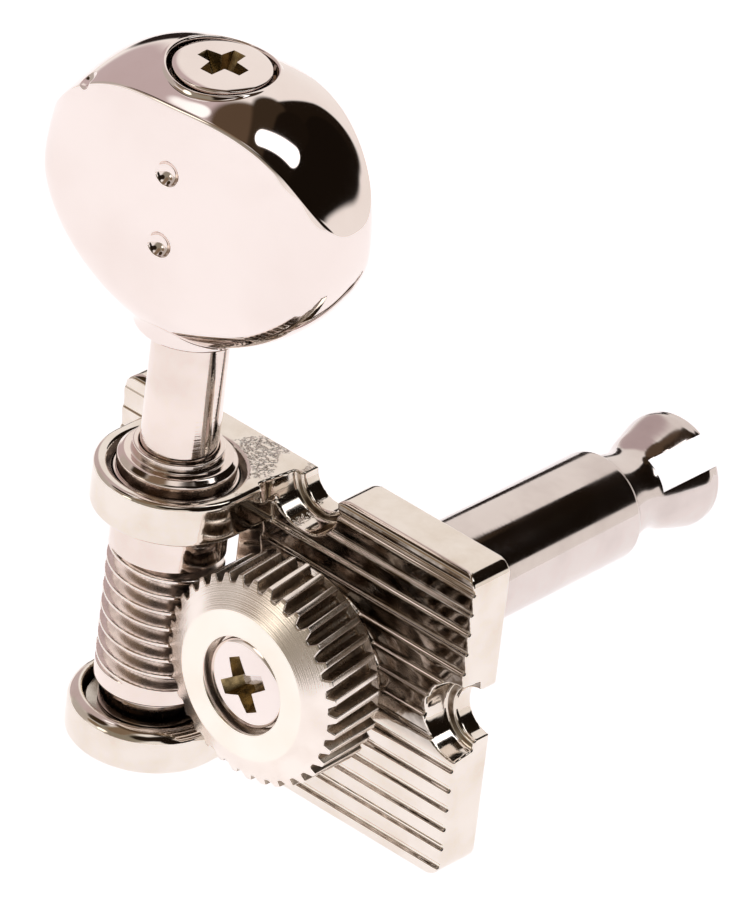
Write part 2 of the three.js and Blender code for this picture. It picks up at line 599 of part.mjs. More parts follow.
function toothedOutline(turn) {
  const radii = [GEAR_ROOT_RADIUS, GEAR_PITCH_RADIUS, GEAR_TIP_RADIUS];
  const points = [];
  for (let tooth = 0; tooth < GEAR_TEETH; tooth += 1) {
    const centre = turn + tooth * 2 * Math.PI / GEAR_TEETH;
    const rising = radii.map((radius) => [radius, centre - halfToothAngle(radius)]);
    const falling = radii.map((radius) => [radius, centre + halfToothAngle(radius)]).reverse();
    for (const [radius, angle] of [...rising, ...falling]) {
      points.push(new THREE.Vector2(radius * Math.cos(angle), radius * Math.sin(angle)));
    }
  }
  return points;
}

function toothedBlank() {
  const ends = [gearFront, teethBack];
  const outlines = ends.map((y) => toothedOutline(toothTurnAt(y)));
  const faces = THREE.ShapeUtils.triangulateShape(outlines[0], []);
  const places = [];
  const put = (end, k) => places.push(outlines[end][k].x, ends[end], outlines[end][k].y);
  for (const [a, b, c] of faces) {
    [a, b, c].forEach((k) => put(0, k));
    [a, c, b].forEach((k) => put(1, k));
  }
  const count = outlines[0].length;
  for (let k = 0; k < count; k += 1) {
    const next = (k + 1) % count;
    put(0, k);
    put(1, k);
    put(1, next);
    put(0, k);
    put(1, next);
    put(0, next);
  }
  const geometry = new THREE.BufferGeometry();
  geometry.setAttribute('position', new THREE.BufferAttribute(new Float32Array(places), 3));
  return solidOf(geometry);
}

function wormGear() {
  const coned = turnedAlongY([
    [0, gearFront],
    [GEAR_FACE_RADIUS, gearFront],
    [GEAR_TIP_RADIUS, teethFront],
    [GEAR_TIP_RADIUS + CUT_OVERRUN, teethFront],
    [GEAR_TIP_RADIUS + CUT_OVERRUN, teethBack],
    [0, teethBack],
  ]);
  const back = turnedAlongY([
    [0, teethBack],
    [GEAR_FLANGE_RADIUS, teethBack],
    [GEAR_FLANGE_RADIUS, gearFlangeBack],
    [GEAR_HUB_RADIUS, gearFlangeBack],
    [GEAR_HUB_RADIUS, gearHubBack],
    [0, gearHubBack],
  ]);
  const recess = rodAlongY(GEAR_RECESS_RADIUS, gearFront - CUT_OVERRUN, gearRecessFloor);
  const drive = flattedRod(JOURNAL_RADIUS + SEAT_GAP, DRIVE_FLAT + SEAT_GAP, 0, gearHubBack - gearFront)
    .rotate([90, 0, 0])
    .rotate([0, -THREE.MathUtils.radToDeg(SLOT_TURN), 0])
    .translate([0, gearHubBack, 0]);
  return toothedBlank()
    .intersect(coned)
    .add(back)
    .subtract(recess)
    .subtract(drive)
    .subtract(rodAlongY(JOURNAL_RADIUS + SEAT_GAP, gearHubBack - SEAT_GAP, gearHubBack + CUT_OVERRUN));
}

function gearWasher() {
  const hole = JOURNAL_RADIUS + RUNNING_GAP;
  const front = gearWasherBack - GEAR_WASHER_THICKNESS;
  return turnedAlongY([
    [hole, front],
    [GEAR_WASHER_RADIUS, front],
    [GEAR_WASHER_RADIUS, gearWasherBack],
    [hole, gearWasherBack],
    [hole, front],
  ]);
}

function gearScrew() {
  const seat = gearRecessFloor - SEAT_GAP;
  const headFront = seat - GEAR_SCREW_HEAD_HEIGHT;
  return turnedAlongY([
    [0, headFront - GEAR_SCREW_DOME],
    [GEAR_SCREW_HEAD_RADIUS / 2, headFront - DOME_HALFWAY_SHARE * GEAR_SCREW_DOME],
    [GEAR_SCREW_HEAD_RADIUS, headFront],
    [GEAR_SCREW_HEAD_RADIUS, seat],
    [GEAR_SCREW_RADIUS, seat],
    [GEAR_SCREW_RADIUS, seat + GEAR_SCREW_LENGTH],
    [0, seat + GEAR_SCREW_LENGTH],
  ]);
}

// String post
function stringPost() {
  const front = gearRecessFloor + END_FLOAT;
  const shoulder = END_FLOAT - POST_RECESS_DEPTH;
  const waist = POST_LENGTH + WAIST_FROM_SHOULDER;
  const flare = POST_TIP - FLARE_FROM_TIP;
  const curve = new THREE.CatmullRomCurve3([
    new THREE.Vector3((WAIST_RADIUS + POST_RADIUS) / 2, POST_LENGTH, 0),
    new THREE.Vector3(WAIST_RADIUS, waist, 0),
    new THREE.Vector3((WAIST_RADIUS + FLARE_RADIUS) / 2, (waist + flare) / 2, 0),
    new THREE.Vector3(FLARE_RADIUS, flare, 0),
    new THREE.Vector3(FLARE_RADIUS, POST_TIP - TIP_ROUNDING, 0),
  ]);
  const body = turnedAlongY([
    [0, front],
    [JOURNAL_RADIUS, front],
    [JOURNAL_RADIUS, shoulder],
    [POST_RADIUS, shoulder],
    ...quarter(
      POST_RADIUS - POST_EDGE_RADIUS, POST_LENGTH - POST_EDGE_RADIUS, POST_EDGE_RADIUS, 0, Math.PI / 2),
    ...curve.getPoints(2 * ARC_STEPS).map((point) => [point.x, point.y]),
    [FLARE_RADIUS - TIP_ROUNDING, POST_TIP],
    [0, POST_TIP],
  ]);
  const driveSlab = roundedRectangle(-JOURNAL_RADIUS, JOURNAL_RADIUS, -DRIVE_FLAT, DRIVE_FLAT, [0, 0, 0, 0]);
  const driven = gearHubBack - SEAT_GAP;
  const flats = rodAlongY(JOURNAL_RADIUS + CUT_OVERRUN, front - CUT_OVERRUN, driven)
    .subtract(prismAlongY(driveSlab, front - 2 * CUT_OVERRUN, driven + CUT_OVERRUN));
  const slot = roundedRectangle(
    -FLARE_RADIUS - CUT_OVERRUN, FLARE_RADIUS + CUT_OVERRUN,
    -STRING_SLOT_WIDTH / 2, STRING_SLOT_WIDTH / 2, [0, 0, 0, 0]);
  return body
    .subtract(flats)
    .subtract(prismAlongY(slot, POST_TIP - STRING_SLOT_DEPTH, POST_TIP + CUT_OVERRUN))
    .subtract(rodAlongY(STRING_HOLE_RADIUS, POST_TIP - STRING_HOLE_DEPTH, POST_TIP + CUT_OVERRUN))
    .rotate([0, -THREE.MathUtils.radToDeg(SLOT_TURN), 0])
    .subtract(rodAlongY(
      GEAR_SCREW_RADIUS + SEAT_GAP, front - CUT_OVERRUN, gearRecessFloor + GEAR_SCREW_LENGTH + END_FLOAT));
}

// Button

// Both faces are one soft cushion: its rings shrink and thin out towards the edge of the outline.
function buttonCushion() {
  const bend = (value) => Math.sign(value) * Math.abs(value) ** (2 / BUTTON_OUTLINE_POWER);
  const ring = (step) => {
    const share = Math.sin(Math.PI / 2 * (1 - Math.abs(step) / BUTTON_FACE_STEPS));
    const swell = (1 - share ** BUTTON_FACE_POWER) ** (1 / BUTTON_RIM_POWER);
    return Array.from({ length: BUTTON_TURN_STEPS }, (_, k) => {
      const angle = 2 * Math.PI * k / BUTTON_TURN_STEPS;
      const reach = Math.sin(angle) >= 0 ? BUTTON_RISE : BUTTON_DROP;
      return [
        share * BUTTON_HALF_WIDTH * bend(Math.cos(angle)),
        Math.sign(step) * BUTTON_HALF_THICKNESS * swell,
        BUTTON_CENTRE_HEIGHT + share * reach * bend(Math.sin(angle)),
      ];
    });
  };
  const rings = [];
  for (let step = 1 - BUTTON_FACE_STEPS; step < BUTTON_FACE_STEPS; step += 1) {
    rings.push(ring(step));
  }
  rings.sort((one, other) => one[0][1] - other[0][1]);
  const places = [];
  const triangle = (a, b, c) => places.push(...a, ...b, ...c);
  const poles = [-1, 1].map((side) => [0, side * BUTTON_HALF_THICKNESS, BUTTON_CENTRE_HEIGHT]);
  for (let k = 0; k < BUTTON_TURN_STEPS; k += 1) {
    const next = (k + 1) % BUTTON_TURN_STEPS;
    triangle(poles[0], rings[0][k], rings[0][next]);
    triangle(poles[1], rings.at(-1)[next], rings.at(-1)[k]);
    for (let r = 0; r < rings.length - 1; r += 1) {
      triangle(rings[r][k], rings[r + 1][k], rings[r + 1][next]);
      triangle(rings[r][k], rings[r + 1][next], rings[r][next]);
    }
  }
  const geometry = new THREE.BufferGeometry();
  geometry.setAttribute('position', new THREE.BufferAttribute(new Float32Array(places), 3));
  return solidOf(geometry);
}

// The top is cut by a domed roof, which leaves the sharp crescent crease on both faces.
function buttonRoof() {
  const width = 2 * (BUTTON_HALF_WIDTH + CUT_OVERRUN);
  const thickness = 2 * (BUTTON_HALF_THICKNESS + CUT_OVERRUN);
  const geometry = new THREE.BoxGeometry(
    width, thickness, BUTTON_RISE, 2 * BUTTON_ROOF_STEPS, BUTTON_ROOF_STEPS, 1);
  const places = geometry.getAttribute('position');
  for (let k = 0; k < places.count; k += 1) {
    const sideShare = Math.abs(places.getX(k)) / BUTTON_HALF_WIDTH;
    const faceShare = places.getY(k) / BUTTON_HALF_THICKNESS;
    const roof = buttonRoofTop
      - BUTTON_ROOF_SIDE_FALL * sideShare ** BUTTON_ROOF_SIDE_POWER
      - BUTTON_ROOF_FACE_FALL * faceShare ** 2;
    places.setZ(k, places.getZ(k) > 0 ? roof : buttonBottom);
  }
  return solidOf(geometry);
}

function buttonScrewEnd() {
  return wellFloor + 2 * SEAT_GAP + BUTTON_WASHER_THICKNESS - BUTTON_SCREW_LENGTH;
}

function button() {
  const neck = rodAlongZ(BUTTON_NECK_RADIUS, buttonBottom, BUTTON_CENTRE_HEIGHT);
  const well = turnedAlongZ([
    [0, wellFloor],
    [SCREW_WELL_RADIUS, wellFloor],
    [SCREW_WELL_RADIUS, wellRim - SCREW_WELL_CHAMFER],
    [SCREW_WELL_RADIUS + SCREW_WELL_CHAMFER, wellRim],
    [SCREW_WELL_RADIUS + SCREW_WELL_CHAMFER, wellRim + CUT_OVERRUN],
    [0, wellRim + CUT_OVERRUN],
  ]);
  const stemSocket = rodAlongZ(
    STEM_RADIUS + SEAT_GAP, buttonBottom - CUT_OVERRUN, stemTop + SEAT_GAP, THREAD_STEPS);
  const tangSocket = flattedRod(
    TANG_RADIUS + SEAT_GAP, TANG_FLAT + SEAT_GAP, buttonBottom, tangTop + END_FLOAT);
  const screwHole = rodAlongZ(BUTTON_SCREW_RADIUS + END_FLOAT, tangTop, wellFloor + SEAT_GAP);
  return buttonCushion()
    .intersect(buttonRoof())
    .add(neck)
    .subtract(well)
    .subtract(stemSocket)
    .subtract(tangSocket)
    .subtract(screwHole);
}

function buttonWasher() {
  const bottom = wellFloor + SEAT_GAP;
  const top = bottom + BUTTON_WASHER_THICKNESS;
  const hole = BUTTON_SCREW_RADIUS + END_FLOAT;
  return turnedAlongZ([
    [hole, bottom],
    [BUTTON_WASHER_RADIUS, bottom],
    [BUTTON_WASHER_RADIUS, top],
    [hole, top],
    [hole, bottom],
  ]);
}

function buttonScrew() {
  const seat = wellFloor + BUTTON_WASHER_THICKNESS + 2 * SEAT_GAP;
  const rim = seat + BUTTON_SCREW_HEAD_HEIGHT;
  return turnedAlongZ([
    [0, buttonScrewEnd()],
    [BUTTON_SCREW_RADIUS, buttonScrewEnd()],
    [BUTTON_SCREW_RADIUS, seat],
    [BUTTON_SCREW_HEAD_RADIUS, seat],
    [BUTTON_SCREW_HEAD_RADIUS, rim],
    [BUTTON_SCREW_HEAD_RADIUS / 2, rim + DOME_HALFWAY_SHARE * BUTTON_SCREW_DOME],
    [0, rim + BUTTON_SCREW_DOME],
  ]);
}

// The whole machine: the fixed pieces, what turns about the worm's axis, and what turns about the post's
const machine = new THREE.Group();
machine.add(piece('base_casting', baseCasting(), castNickel));

const wormLine = new THREE.Group();
wormLine.position.set(wormX, wormY, 0);
wormLine.add(piece('upper_bearing_bush', bearingBush(), nickel));
wormLine.add(piece('worm_thrust_washer', thrustWasher(), washerSteel));
wormLine.add(piece('worm_shaft', wormShaft(), cutNickel));
machine.add(wormLine);

const buttonGroup = new THREE.Group();
buttonGroup.rotation.z = BUTTON_TURN;
buttonGroup.add(piece('button', button(), nickel));
buttonGroup.add(piece('button_washer', buttonWasher(), washerSteel));
buttonGroup.add(piece('button_screw', buttonScrew(), nickel));
wormLine.add(buttonGroup);

machine.add(piece('gear_washer', gearWasher(), washerSteel));
machine.add(piece('worm_gear', wormGear(), cutNickel));
machine.add(piece('gear_screw', gearScrew(), nickel));
machine.add(piece('string_post', stringPost(), nickel));

export default machine;
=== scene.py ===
"""Open-gear guitar tuning machine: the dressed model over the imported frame.

Every length in the classes is in millimetres and turns to metres where a mesh is made.
The frame: +Z up the worm towards the button, +Y along the string post away from the gear,
+X along the plate's ridges, away from the worm. The origin is on the plate's back, on the
axis of the string post.
"""
import logging
import math
from collections.abc import Callable
from dataclasses import dataclass
from enum import Enum

import bmesh
import bpy
from bpy.types import Material, Node, NodeSocket, NodeTree, Object
from mathutils import Matrix, Vector


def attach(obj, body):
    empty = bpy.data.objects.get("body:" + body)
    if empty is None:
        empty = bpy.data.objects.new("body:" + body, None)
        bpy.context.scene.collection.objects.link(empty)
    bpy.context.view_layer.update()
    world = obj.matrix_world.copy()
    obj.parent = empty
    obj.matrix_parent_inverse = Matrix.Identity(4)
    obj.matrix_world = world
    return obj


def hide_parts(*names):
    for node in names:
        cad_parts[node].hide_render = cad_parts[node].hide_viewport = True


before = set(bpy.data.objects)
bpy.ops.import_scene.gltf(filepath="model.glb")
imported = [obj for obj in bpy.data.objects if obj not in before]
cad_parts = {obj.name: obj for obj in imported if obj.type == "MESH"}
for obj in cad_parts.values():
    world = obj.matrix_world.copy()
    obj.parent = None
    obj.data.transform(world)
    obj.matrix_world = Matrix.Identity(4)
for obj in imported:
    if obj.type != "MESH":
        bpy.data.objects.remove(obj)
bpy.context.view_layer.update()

LOG = logging.getLogger("tuning_machine")

MM = 0.001
PHOTO_HEIGHT = 900
WORM_CENTRE = (-8.6182, -5.8, 0.0)

Point = tuple[float, float, float]
Corner = tuple[float, float]
Profile = list[Corner]
Face = tuple[int, ...]
Colour = tuple[float, float, float, float]


class Axis(Enum):
    """The axis that a piece is turned about, or a prism runs along."""

    X = "X"
    Y = "Y"
    Z = "Z"


class Join(Enum):
    """How one solid is joined with another."""

    ADD = "UNION"
    CUT = "DIFFERENCE"
    KEEP = "INTERSECT"


def linear(hex_colour: str) -> Colour:
    """Turns an sRGB hex colour into linear RGBA.

    Args:
        hex_colour: six hex digits, without a hash.

    Returns:
        The linear red, green, blue and an alpha of one.
    """
    values = [int(hex_colour[k:k + 2], 16) / 255 for k in (0, 2, 4)]
    red, green, blue = (v / 12.92 if v <= 0.04045 else ((v + 0.055) / 1.055) ** 2.4 for v in values)
    return (red, green, blue, 1.0)


def add_node(tree: NodeTree, kind: str, settings: dict | None = None, inputs: dict | None = None) -> Node:
    """Adds a node with its settings, values and links.

    Args:
        tree: the node tree that gets the node.
        kind: Blender's name for the node type, without "ShaderNode".
        settings: the node's own properties.
        inputs: socket name or number to a value, or to the output socket that feeds it.

    Returns:
        The new node.
    """
    node = tree.nodes.new(f"ShaderNode{kind}")
    for name, value in (settings or {}).items():
        setattr(node, name, value)
    for name, value in (inputs or {}).items():
        if isinstance(value, NodeSocket):
            tree.links.new(value, node.inputs[name])
        else:
            node.inputs[name].default_value = value
    return node


def place_of(tree: NodeTree, kind: str) -> NodeSocket:
    """Returns the socket with a surface point's place or direction of one kind."""
    return add_node(tree, "TexCoord").outputs[kind]


def part_of(tree: NodeTree, vector: NodeSocket, axis: Axis) -> NodeSocket:
    """Returns the socket with a vector's part along an axis."""
    return add_node(tree, "SeparateXYZ", inputs={0: vector}).outputs[axis.value]


def noise(tree: NodeTree, place: NodeSocket, size: float, detail: float, rough: float = 0.5) -> NodeSocket:
    """Returns cloudy noise, whose largest clouds have a size in millimetres."""
    return add_node(tree, "TexNoise", inputs={
        "Vector": place, "Scale": 1 / (size * MM), "Detail": detail, "Roughness": rough}).outputs["Fac"]


def ramp(tree: NodeTree, value: NodeSocket, start: float, end: float, low: float = 0.0,
         high: float | NodeSocket = 1.0, soft: bool = False) -> NodeSocket:
    """Returns a value that goes from low, where the input is at its start, to high at its end."""
    return add_node(tree, "MapRange", {"interpolation_type": "SMOOTHSTEP" if soft else "LINEAR"}, {
        "Value": value, "From Min": start, "From Max": end, "To Min": low, "To Max": high}).outputs["Result"]


def numbers(tree: NodeTree, operation: str, *values: NodeSocket | float) -> NodeSocket:
    """Returns the result of an operation on numbers."""
    return add_node(tree, "Math", {"operation": operation}, dict(enumerate(values))).outputs["Value"]


def vectors(tree: NodeTree, operation: str, *values: NodeSocket | Vector | Point) -> NodeSocket:
    """Returns the result of an operation on vectors, which is a number for a length or a product."""
    node = add_node(tree, "VectorMath", {"operation": operation}, dict(enumerate(values)))
    return node.outputs["Value" if operation in ("DISTANCE", "LENGTH", "DOT_PRODUCT") else "Vector"]


def mixed(tree: NodeTree, share: NodeSocket, one: NodeSocket | Colour,
          two: NodeSocket | Colour) -> NodeSocket:
    """Returns a mix of two colours, with a share of the second."""
    return add_node(tree, "Mix", {"data_type": "RGBA"}, {"Factor": share, 6: one, 7: two}).outputs[2]


def bumped(tree: NodeTree, height: NodeSocket, depth: float, strength: float | NodeSocket = 1.0,
           under: NodeSocket | None = None) -> NodeSocket:
    """Returns the normal over a relief of a depth in millimetres, which lies on another one if given."""
    inputs = {"Height": height, "Distance": depth * MM, "Strength": strength}
    if under is not None:
        inputs["Normal"] = under
    return add_node(tree, "Bump", inputs=inputs).outputs["Normal"]


@dataclass(frozen=True)
class MetalFinish:
    """A plated or bare metal surface, with the marks of how it was made.

    Attributes:
        name: the material's name.
        bright: sRGB hex of the clean metal.
        dull: sRGB hex of the handled or shaded metal.
        polish: the lowest roughness, where it is brightest.
        haze: the highest roughness, where it is handled or worn.
        patch_mm: size of the patches between polish and haze.
        grain_mm: size of the surface's own unevenness.
        grain_depth_mm: depth of that unevenness.
        marks: the axis of the lathe's rings; None where there are none.
        mark_mm: spacing of the rings.
        mark_depth_mm: depth of the rings.
        centre: a point on the axis of the rings.
        pit_mm: size of the pits that casting leaves on upper faces; 0 for none.
        pit_depth_mm: depth of those pits.
        pits_at: the middle of the place that the buff did not reach.
        pits_reach_mm: how far that place reaches.
        painted_dark: sRGB hex of a dark reflection painted on faces that look out; empty for none.
        painted_dark_corner: (x, z) of the lower left corner of the place where it is painted.
        painted_dark_fade_mm: how far it fades in from that corner, along x and z.
        painted_dark_cloud_mm: size of the clouds in it.
    """

    name: str
    bright: str
    dull: str
    polish: float
    haze: float
    patch_mm: float
    grain_mm: float
    grain_depth_mm: float
    marks: Axis | None = None
    mark_mm: float = 0.1
    mark_depth_mm: float = 0.0
    centre: Point = (0.0, 0.0, 0.0)
    pit_mm: float = 0.0
    pit_depth_mm: float = 0.0
    pits_at: Point = (-5.0, -2.4, 8.62)
    pits_reach_mm: float = 3.5
    painted_dark: str = ""
    painted_dark_corner: Corner = (-4.6, -2.3)
    painted_dark_fade_mm: Corner = (1.5, 1.8)
    painted_dark_cloud_mm: float = 1.3

    def material(self) -> Material:
        """Makes the material, or returns it where it is made already."""
        found = bpy.data.materials.get(self.name)
        if found:
            return found
        material = bpy.data.materials.new(self.name)
        material.use_nodes = True
        tree = material.node_tree
        tree.nodes.clear()
        place = place_of(tree, "Object")
        patches = noise(tree, place, self.patch_mm, 4.0, 0.55)
        roughness = ramp(tree, patches, 0.35, 0.7, self.polish, self.haze, soft=True)
        colour = mixed(tree, ramp(tree, patches, 0.4, 0.75), linear(self.bright), linear(self.dull))
        # Where it is set, a dark reflection is painted over the colour. This is painted shade on the slopes.
        if self.painted_dark:
            colour = self.paint_dark_reflection(tree, place, colour)
        normal = bumped(tree, noise(tree, place, self.grain_mm, 2.0), self.grain_depth_mm)
        if self.pit_mm:
            normal = self.casting_pits(tree, place, normal)
        if self.marks:
            normal = self.lathe_rings(tree, place, normal)
        shader = add_node(tree, "BsdfPrincipled", inputs={
            "Base Color": colour, "Metallic": 1.0, "Roughness": roughness, "Normal": normal})
        add_node(tree, "OutputMaterial", inputs={"Surface": shader.outputs["BSDF"]})
        return material

    def paint_dark_reflection(self, tree: NodeTree, place: NodeSocket, metal: NodeSocket) -> NodeSocket:
        """Paints a dark reflection on the faces that look out, beside and over the wheel, where their slopes
        mirror the dark room and the wheel's back.

        Args:
            tree: the material's nodes.
            place: the socket with the place on the object.
            metal: the socket with the bare metal's colour.

        Returns:
            The socket with the colour under the painted dark reflection.
        """
        share = ramp(tree, noise(tree, place, self.painted_dark_cloud_mm, 3.0, 0.6), 0.36, 0.6, 0.55, 0.97)
        share = ramp(tree, part_of(tree, place_of(tree, "Normal"), Axis.Y), -0.88, -0.95, high=share)
        for axis, start, fade in zip((Axis.X, Axis.Z), self.painted_dark_corner, self.painted_dark_fade_mm):
            share = ramp(tree, part_of(tree, place, axis), start * MM, (start + fade) * MM, high=share)
        return mixed(tree, share, metal, linear(self.painted_dark))

    def casting_pits(self, tree: NodeTree, place: NodeSocket, under: NodeSocket) -> NodeSocket:
        """Adds small pits where a face looks up and the buff didn't reach.

        Args:
            tree: the material's nodes.
            place: the socket with the place on the object.
            under: the normal that the pits lie on.

        Returns:
            The socket with the pitted normal.
        """
        upper = ramp(tree, part_of(tree, place_of(tree, "Normal"), Axis.Z), 0.9, 0.98)
        away = vectors(tree, "DISTANCE", place, tuple(value * MM for value in self.pits_at))
        near = ramp(tree, away, self.pits_reach_mm * MM, 0.8 * self.pits_reach_mm * MM)
        worn = ramp(tree, noise(tree, place, 12 * self.pit_mm, 1.0), 0.4, 0.52)
        share = numbers(tree, "MULTIPLY", numbers(tree, "MULTIPLY", upper, near), worn)
        bowls = ramp(tree, noise(tree, place, self.pit_mm, 3.0, 0.6), 0.38, 0.56, soft=True)
        return bumped(tree, bowls, self.pit_depth_mm, share, under)

    def lathe_rings(self, tree: NodeTree, place: NodeSocket, under: NodeSocket) -> NodeSocket:
        """Adds the fine rings that a lathe leaves, on faces and round the outside alike.

        Args:
            tree: the material's nodes.
            place: the socket with the place on the object.
            under: the normal that the rings lie on.

        Returns:
            The socket with the ringed normal.
        """
        offset = vectors(tree, "SUBTRACT", place, tuple(value * MM for value in self.centre))
        across = (1.0, 1.0, 0.0) if self.marks is Axis.Z else (1.0, 0.0, 1.0)
        radius = vectors(tree, "LENGTH", vectors(tree, "MULTIPLY", offset, across))
        reach = numbers(tree, "ADD", radius, part_of(tree, offset, self.marks))
        rings = add_node(tree, "TexNoise", {"noise_dimensions": "1D"}, {
            "W": reach, "Scale": 1 / (self.mark_mm * MM), "Detail": 3.0})
        return bumped(tree, rings.outputs["Fac"], self.mark_depth_mm, under=under)


# Nickel plate, polished: a warm, slightly pink mirror with faint handling haze.
POLISHED_NICKEL = MetalFinish(
    "polished nickel plate", "EEE4DF", "E7DBD5", polish=0.03, haze=0.06,
    patch_mm=6.0, grain_mm=1.6, grain_depth_mm=0.0012)

# Nickel plate over a die casting: the mirror is softer and slightly uneven, as the metal was cast,
# with pits where the buff didn't reach, and a brown painted dark reflection on the slopes beside and over
# the wheel.
CAST_NICKEL = MetalFinish(
    "nickel plated die casting", "E9E1D8", "DCD0C2", polish=0.05, haze=0.12,
    patch_mm=2.5, grain_mm=0.6, grain_depth_mm=0.0025, pit_mm=0.33, pit_depth_mm=0.2,
    painted_dark="473522")

# Nickel plate over a turned bar: the rings of the lathe show through the plate as fine streaks.
TURNED_NICKEL_WORM = MetalFinish(
    "nickel plated turned bar on the worm's axis", "EADED6", "DDCFC6", polish=0.06, haze=0.12,
    patch_mm=3.0, grain_mm=0.9, grain_depth_mm=0.001,
    marks=Axis.Z, mark_mm=0.16, mark_depth_mm=0.0035, centre=WORM_CENTRE)

# The same on the string post: a little greyer and hazier.
TURNED_NICKEL_POST = MetalFinish(
    "nickel plated turned bar on the post's axis", "DAD0CB", "CBC0BB", polish=0.08, haze=0.15,
    patch_mm=4.0, grain_mm=1.2, grain_depth_mm=0.001,
    marks=Axis.Y, mark_mm=0.2, mark_depth_mm=0.0025)

# Nickel plate over a turned cone: satin, with the lathe's rings standing out in the light.
CUT_NICKEL = MetalFinish(
    "nickel plated turned cone", "F3EAE2", "E6DAD0", polish=0.2, haze=0.28,
    patch_mm=2.2, grain_mm=0.5, grain_depth_mm=0.0008,
    marks=Axis.Y, mark_mm=0.11, mark_depth_mm=0.006)

# Nickel plate over a faced and polished front: the brightest of the gear's surfaces.
FACED_NICKEL = MetalFinish(
    "nickel plated faced front", "F6F0E6", "EFE7DA", polish=0.08, haze=0.14,
    patch_mm=3.0, grain_mm=1.0, grain_depth_mm=0.0006,
    marks=Axis.Y, mark_mm=0.12, mark_depth_mm=0.0008)

# Tooth gaps as the cutter left them: rougher and grainy, and darkened brown by painted shade between the
# teeth.
TOOTH_GAP_SHADE = MetalFinish(
    "tooth gap with painted shade", "B6A899", "7B6D60", polish=0.24, haze=0.38,
    patch_mm=0.7, grain_mm=0.12, grain_depth_mm=0.006)

# The thread's gap, rolled and plated: duller than its crest, and a little greyer, which is painted shade.
THREAD_GAP = MetalFinish(
    "plated thread gap", "EDE4DE", "CDC1B9", polish=0.16, haze=0.26,
    patch_mm=1.2, grain_mm=0.2, grain_depth_mm=0.002)

# The cups in the lugs: a dark, half dull copy of the casting's metal, which is painted shade.
CUP_SHADE = MetalFinish(
    "painted shade in the casting's cups", "6B5F55", "332A23", polish=0.16, haze=0.34,
    patch_mm=1.4, grain_mm=0.3, grain_depth_mm=0.005)

# A screw's cross recess: brassy where the plate is thin, and darkened as painted shade in the recess.
SHADED_RECESS_BRASS = MetalFinish(
    "screw recess, thin plate with painted shade", "AD9870", "463825", polish=0.22, haze=0.4,
    patch_mm=0.6, grain_mm=0.15, grain_depth_mm=0.004)

# Plated steel washer: flat, brushed and duller than its neighbours.
WASHER_STEEL = MetalFinish(
    "plated steel washer", "C9C2B9", "A9A198", polish=0.16, haze=0.28,
    patch_mm=1.5, grain_mm=0.3, grain_depth_mm=0.002)


def make_object(name: str, points: list[Point], faces: list[Face], scale: float = MM) -> Object:
    """Makes a mesh object from points and faces, with its faces turned outwards.

    Args:
        name: the object's name.
        points: places in millimetres.
        faces: the points of each face.
        scale: Blender units to a millimetre; 1 keeps millimetres for further cutting.

    Returns:
        The new object, linked to the scene.
    """
    mesh = bpy.data.meshes.new(name)
    mesh.from_pydata([(x * scale, y * scale, z * scale) for x, y, z in points], [], faces)
    work = bmesh.new()
    work.from_mesh(mesh)
    bmesh.ops.recalc_face_normals(work, faces=work.faces)
    work.to_mesh(mesh)
    work.free()
    thing = bpy.data.objects.new(name, mesh)
    bpy.context.scene.collection.objects.link(thing)
    return thing


def modify(thing: Object, kind: str, **settings: object) -> None:
    """Changes an object's mesh by one modifier with the given settings."""
    modifier = thing.modifiers.new(kind, kind)
    for name, value in settings.items():
        setattr(modifier, name, value)
    seen = thing.evaluated_get(bpy.context.evaluated_depsgraph_get())
    mesh = bpy.data.meshes.new_from_object(seen)
    old = thing.data
    thing.modifiers.clear()
    thing.data = mesh
    bpy.data.meshes.remove(old)


def join(base: Object, tool: Object, how: Join) -> None:
    """Joins or cuts the base solid with another one, which is then removed."""
    modify(base, "BOOLEAN", operation=how.value, solver="MANIFOLD", object=tool)
    bpy.data.objects.remove(tool)


def ease_edges(thing: Object, width: float, segments: int, over: float) -> None:
    """Bevels the edges of a solid in millimetres that are over an angle in degrees."""
    modify(thing, "BEVEL", width=width, segments=segments, limit_method="ANGLE",
           angle_limit=math.radians(over))


def smooth(thing: Object, sharp_over: float = 180.0) -> None:
    """Shades an object smooth, with edges over an angle in degrees kept sharp."""
    thing.data.shade_smooth()
    if sharp_over < 180.0:
        limit = math.radians(sharp_over)
        work = bmesh.new()
        work.from_mesh(thing.data)
        for edge in work.edges:
            edge.smooth = len(edge.link_faces) == 2 and edge.calc_face_angle(0.0) < limit
        work.to_mesh(thing.data)
        work.free()


def resized(thing: Object) -> None:
    """Turns a mesh that was cut in millimetres into metres."""
    thing.data.transform(Matrix.Scale(MM, 4))


def dress(thing: Object, finish: MetalFinish) -> None:
    """Gives an object one finish all over."""
    thing.data.materials.clear()
    thing.data.materials.append(finish.material())


def dress_where(thing: Object, finish: MetalFinish, chosen: Callable[[Vector], bool]) -> None:
    """Gives a further finish to the faces whose middle, in millimetres, is chosen."""
    thing.data.materials.append(finish.material())
    for face in thing.data.polygons:
        if chosen(face.center / MM):
            face.material_index = len(thing.data.materials) - 1


def dress_node(node: Object, finish: MetalFinish) -> None:
    """Gives a CAD node that stays a better material in each of its slots."""
    for slot in node.material_slots:
        slot.material = finish.material()


def from_worm(place: Vector) -> float:
    """Returns how far a place in millimetres is from the worm's axis."""
    return (place - Vector(WORM_CENTRE)).to_2d().length


def set_down(thing: Object, body: str, node: str) -> None:
    """Hands a piece to the frame.

    Args:
        thing: the finished piece.
        body: the CAD body that it rides on.
        node: the CAD node that it replaces.
    """
    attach(thing, body)
    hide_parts(node)
    LOG.info("%s: %d faces, on %s", thing.name, len(thing.data.polygons), body)


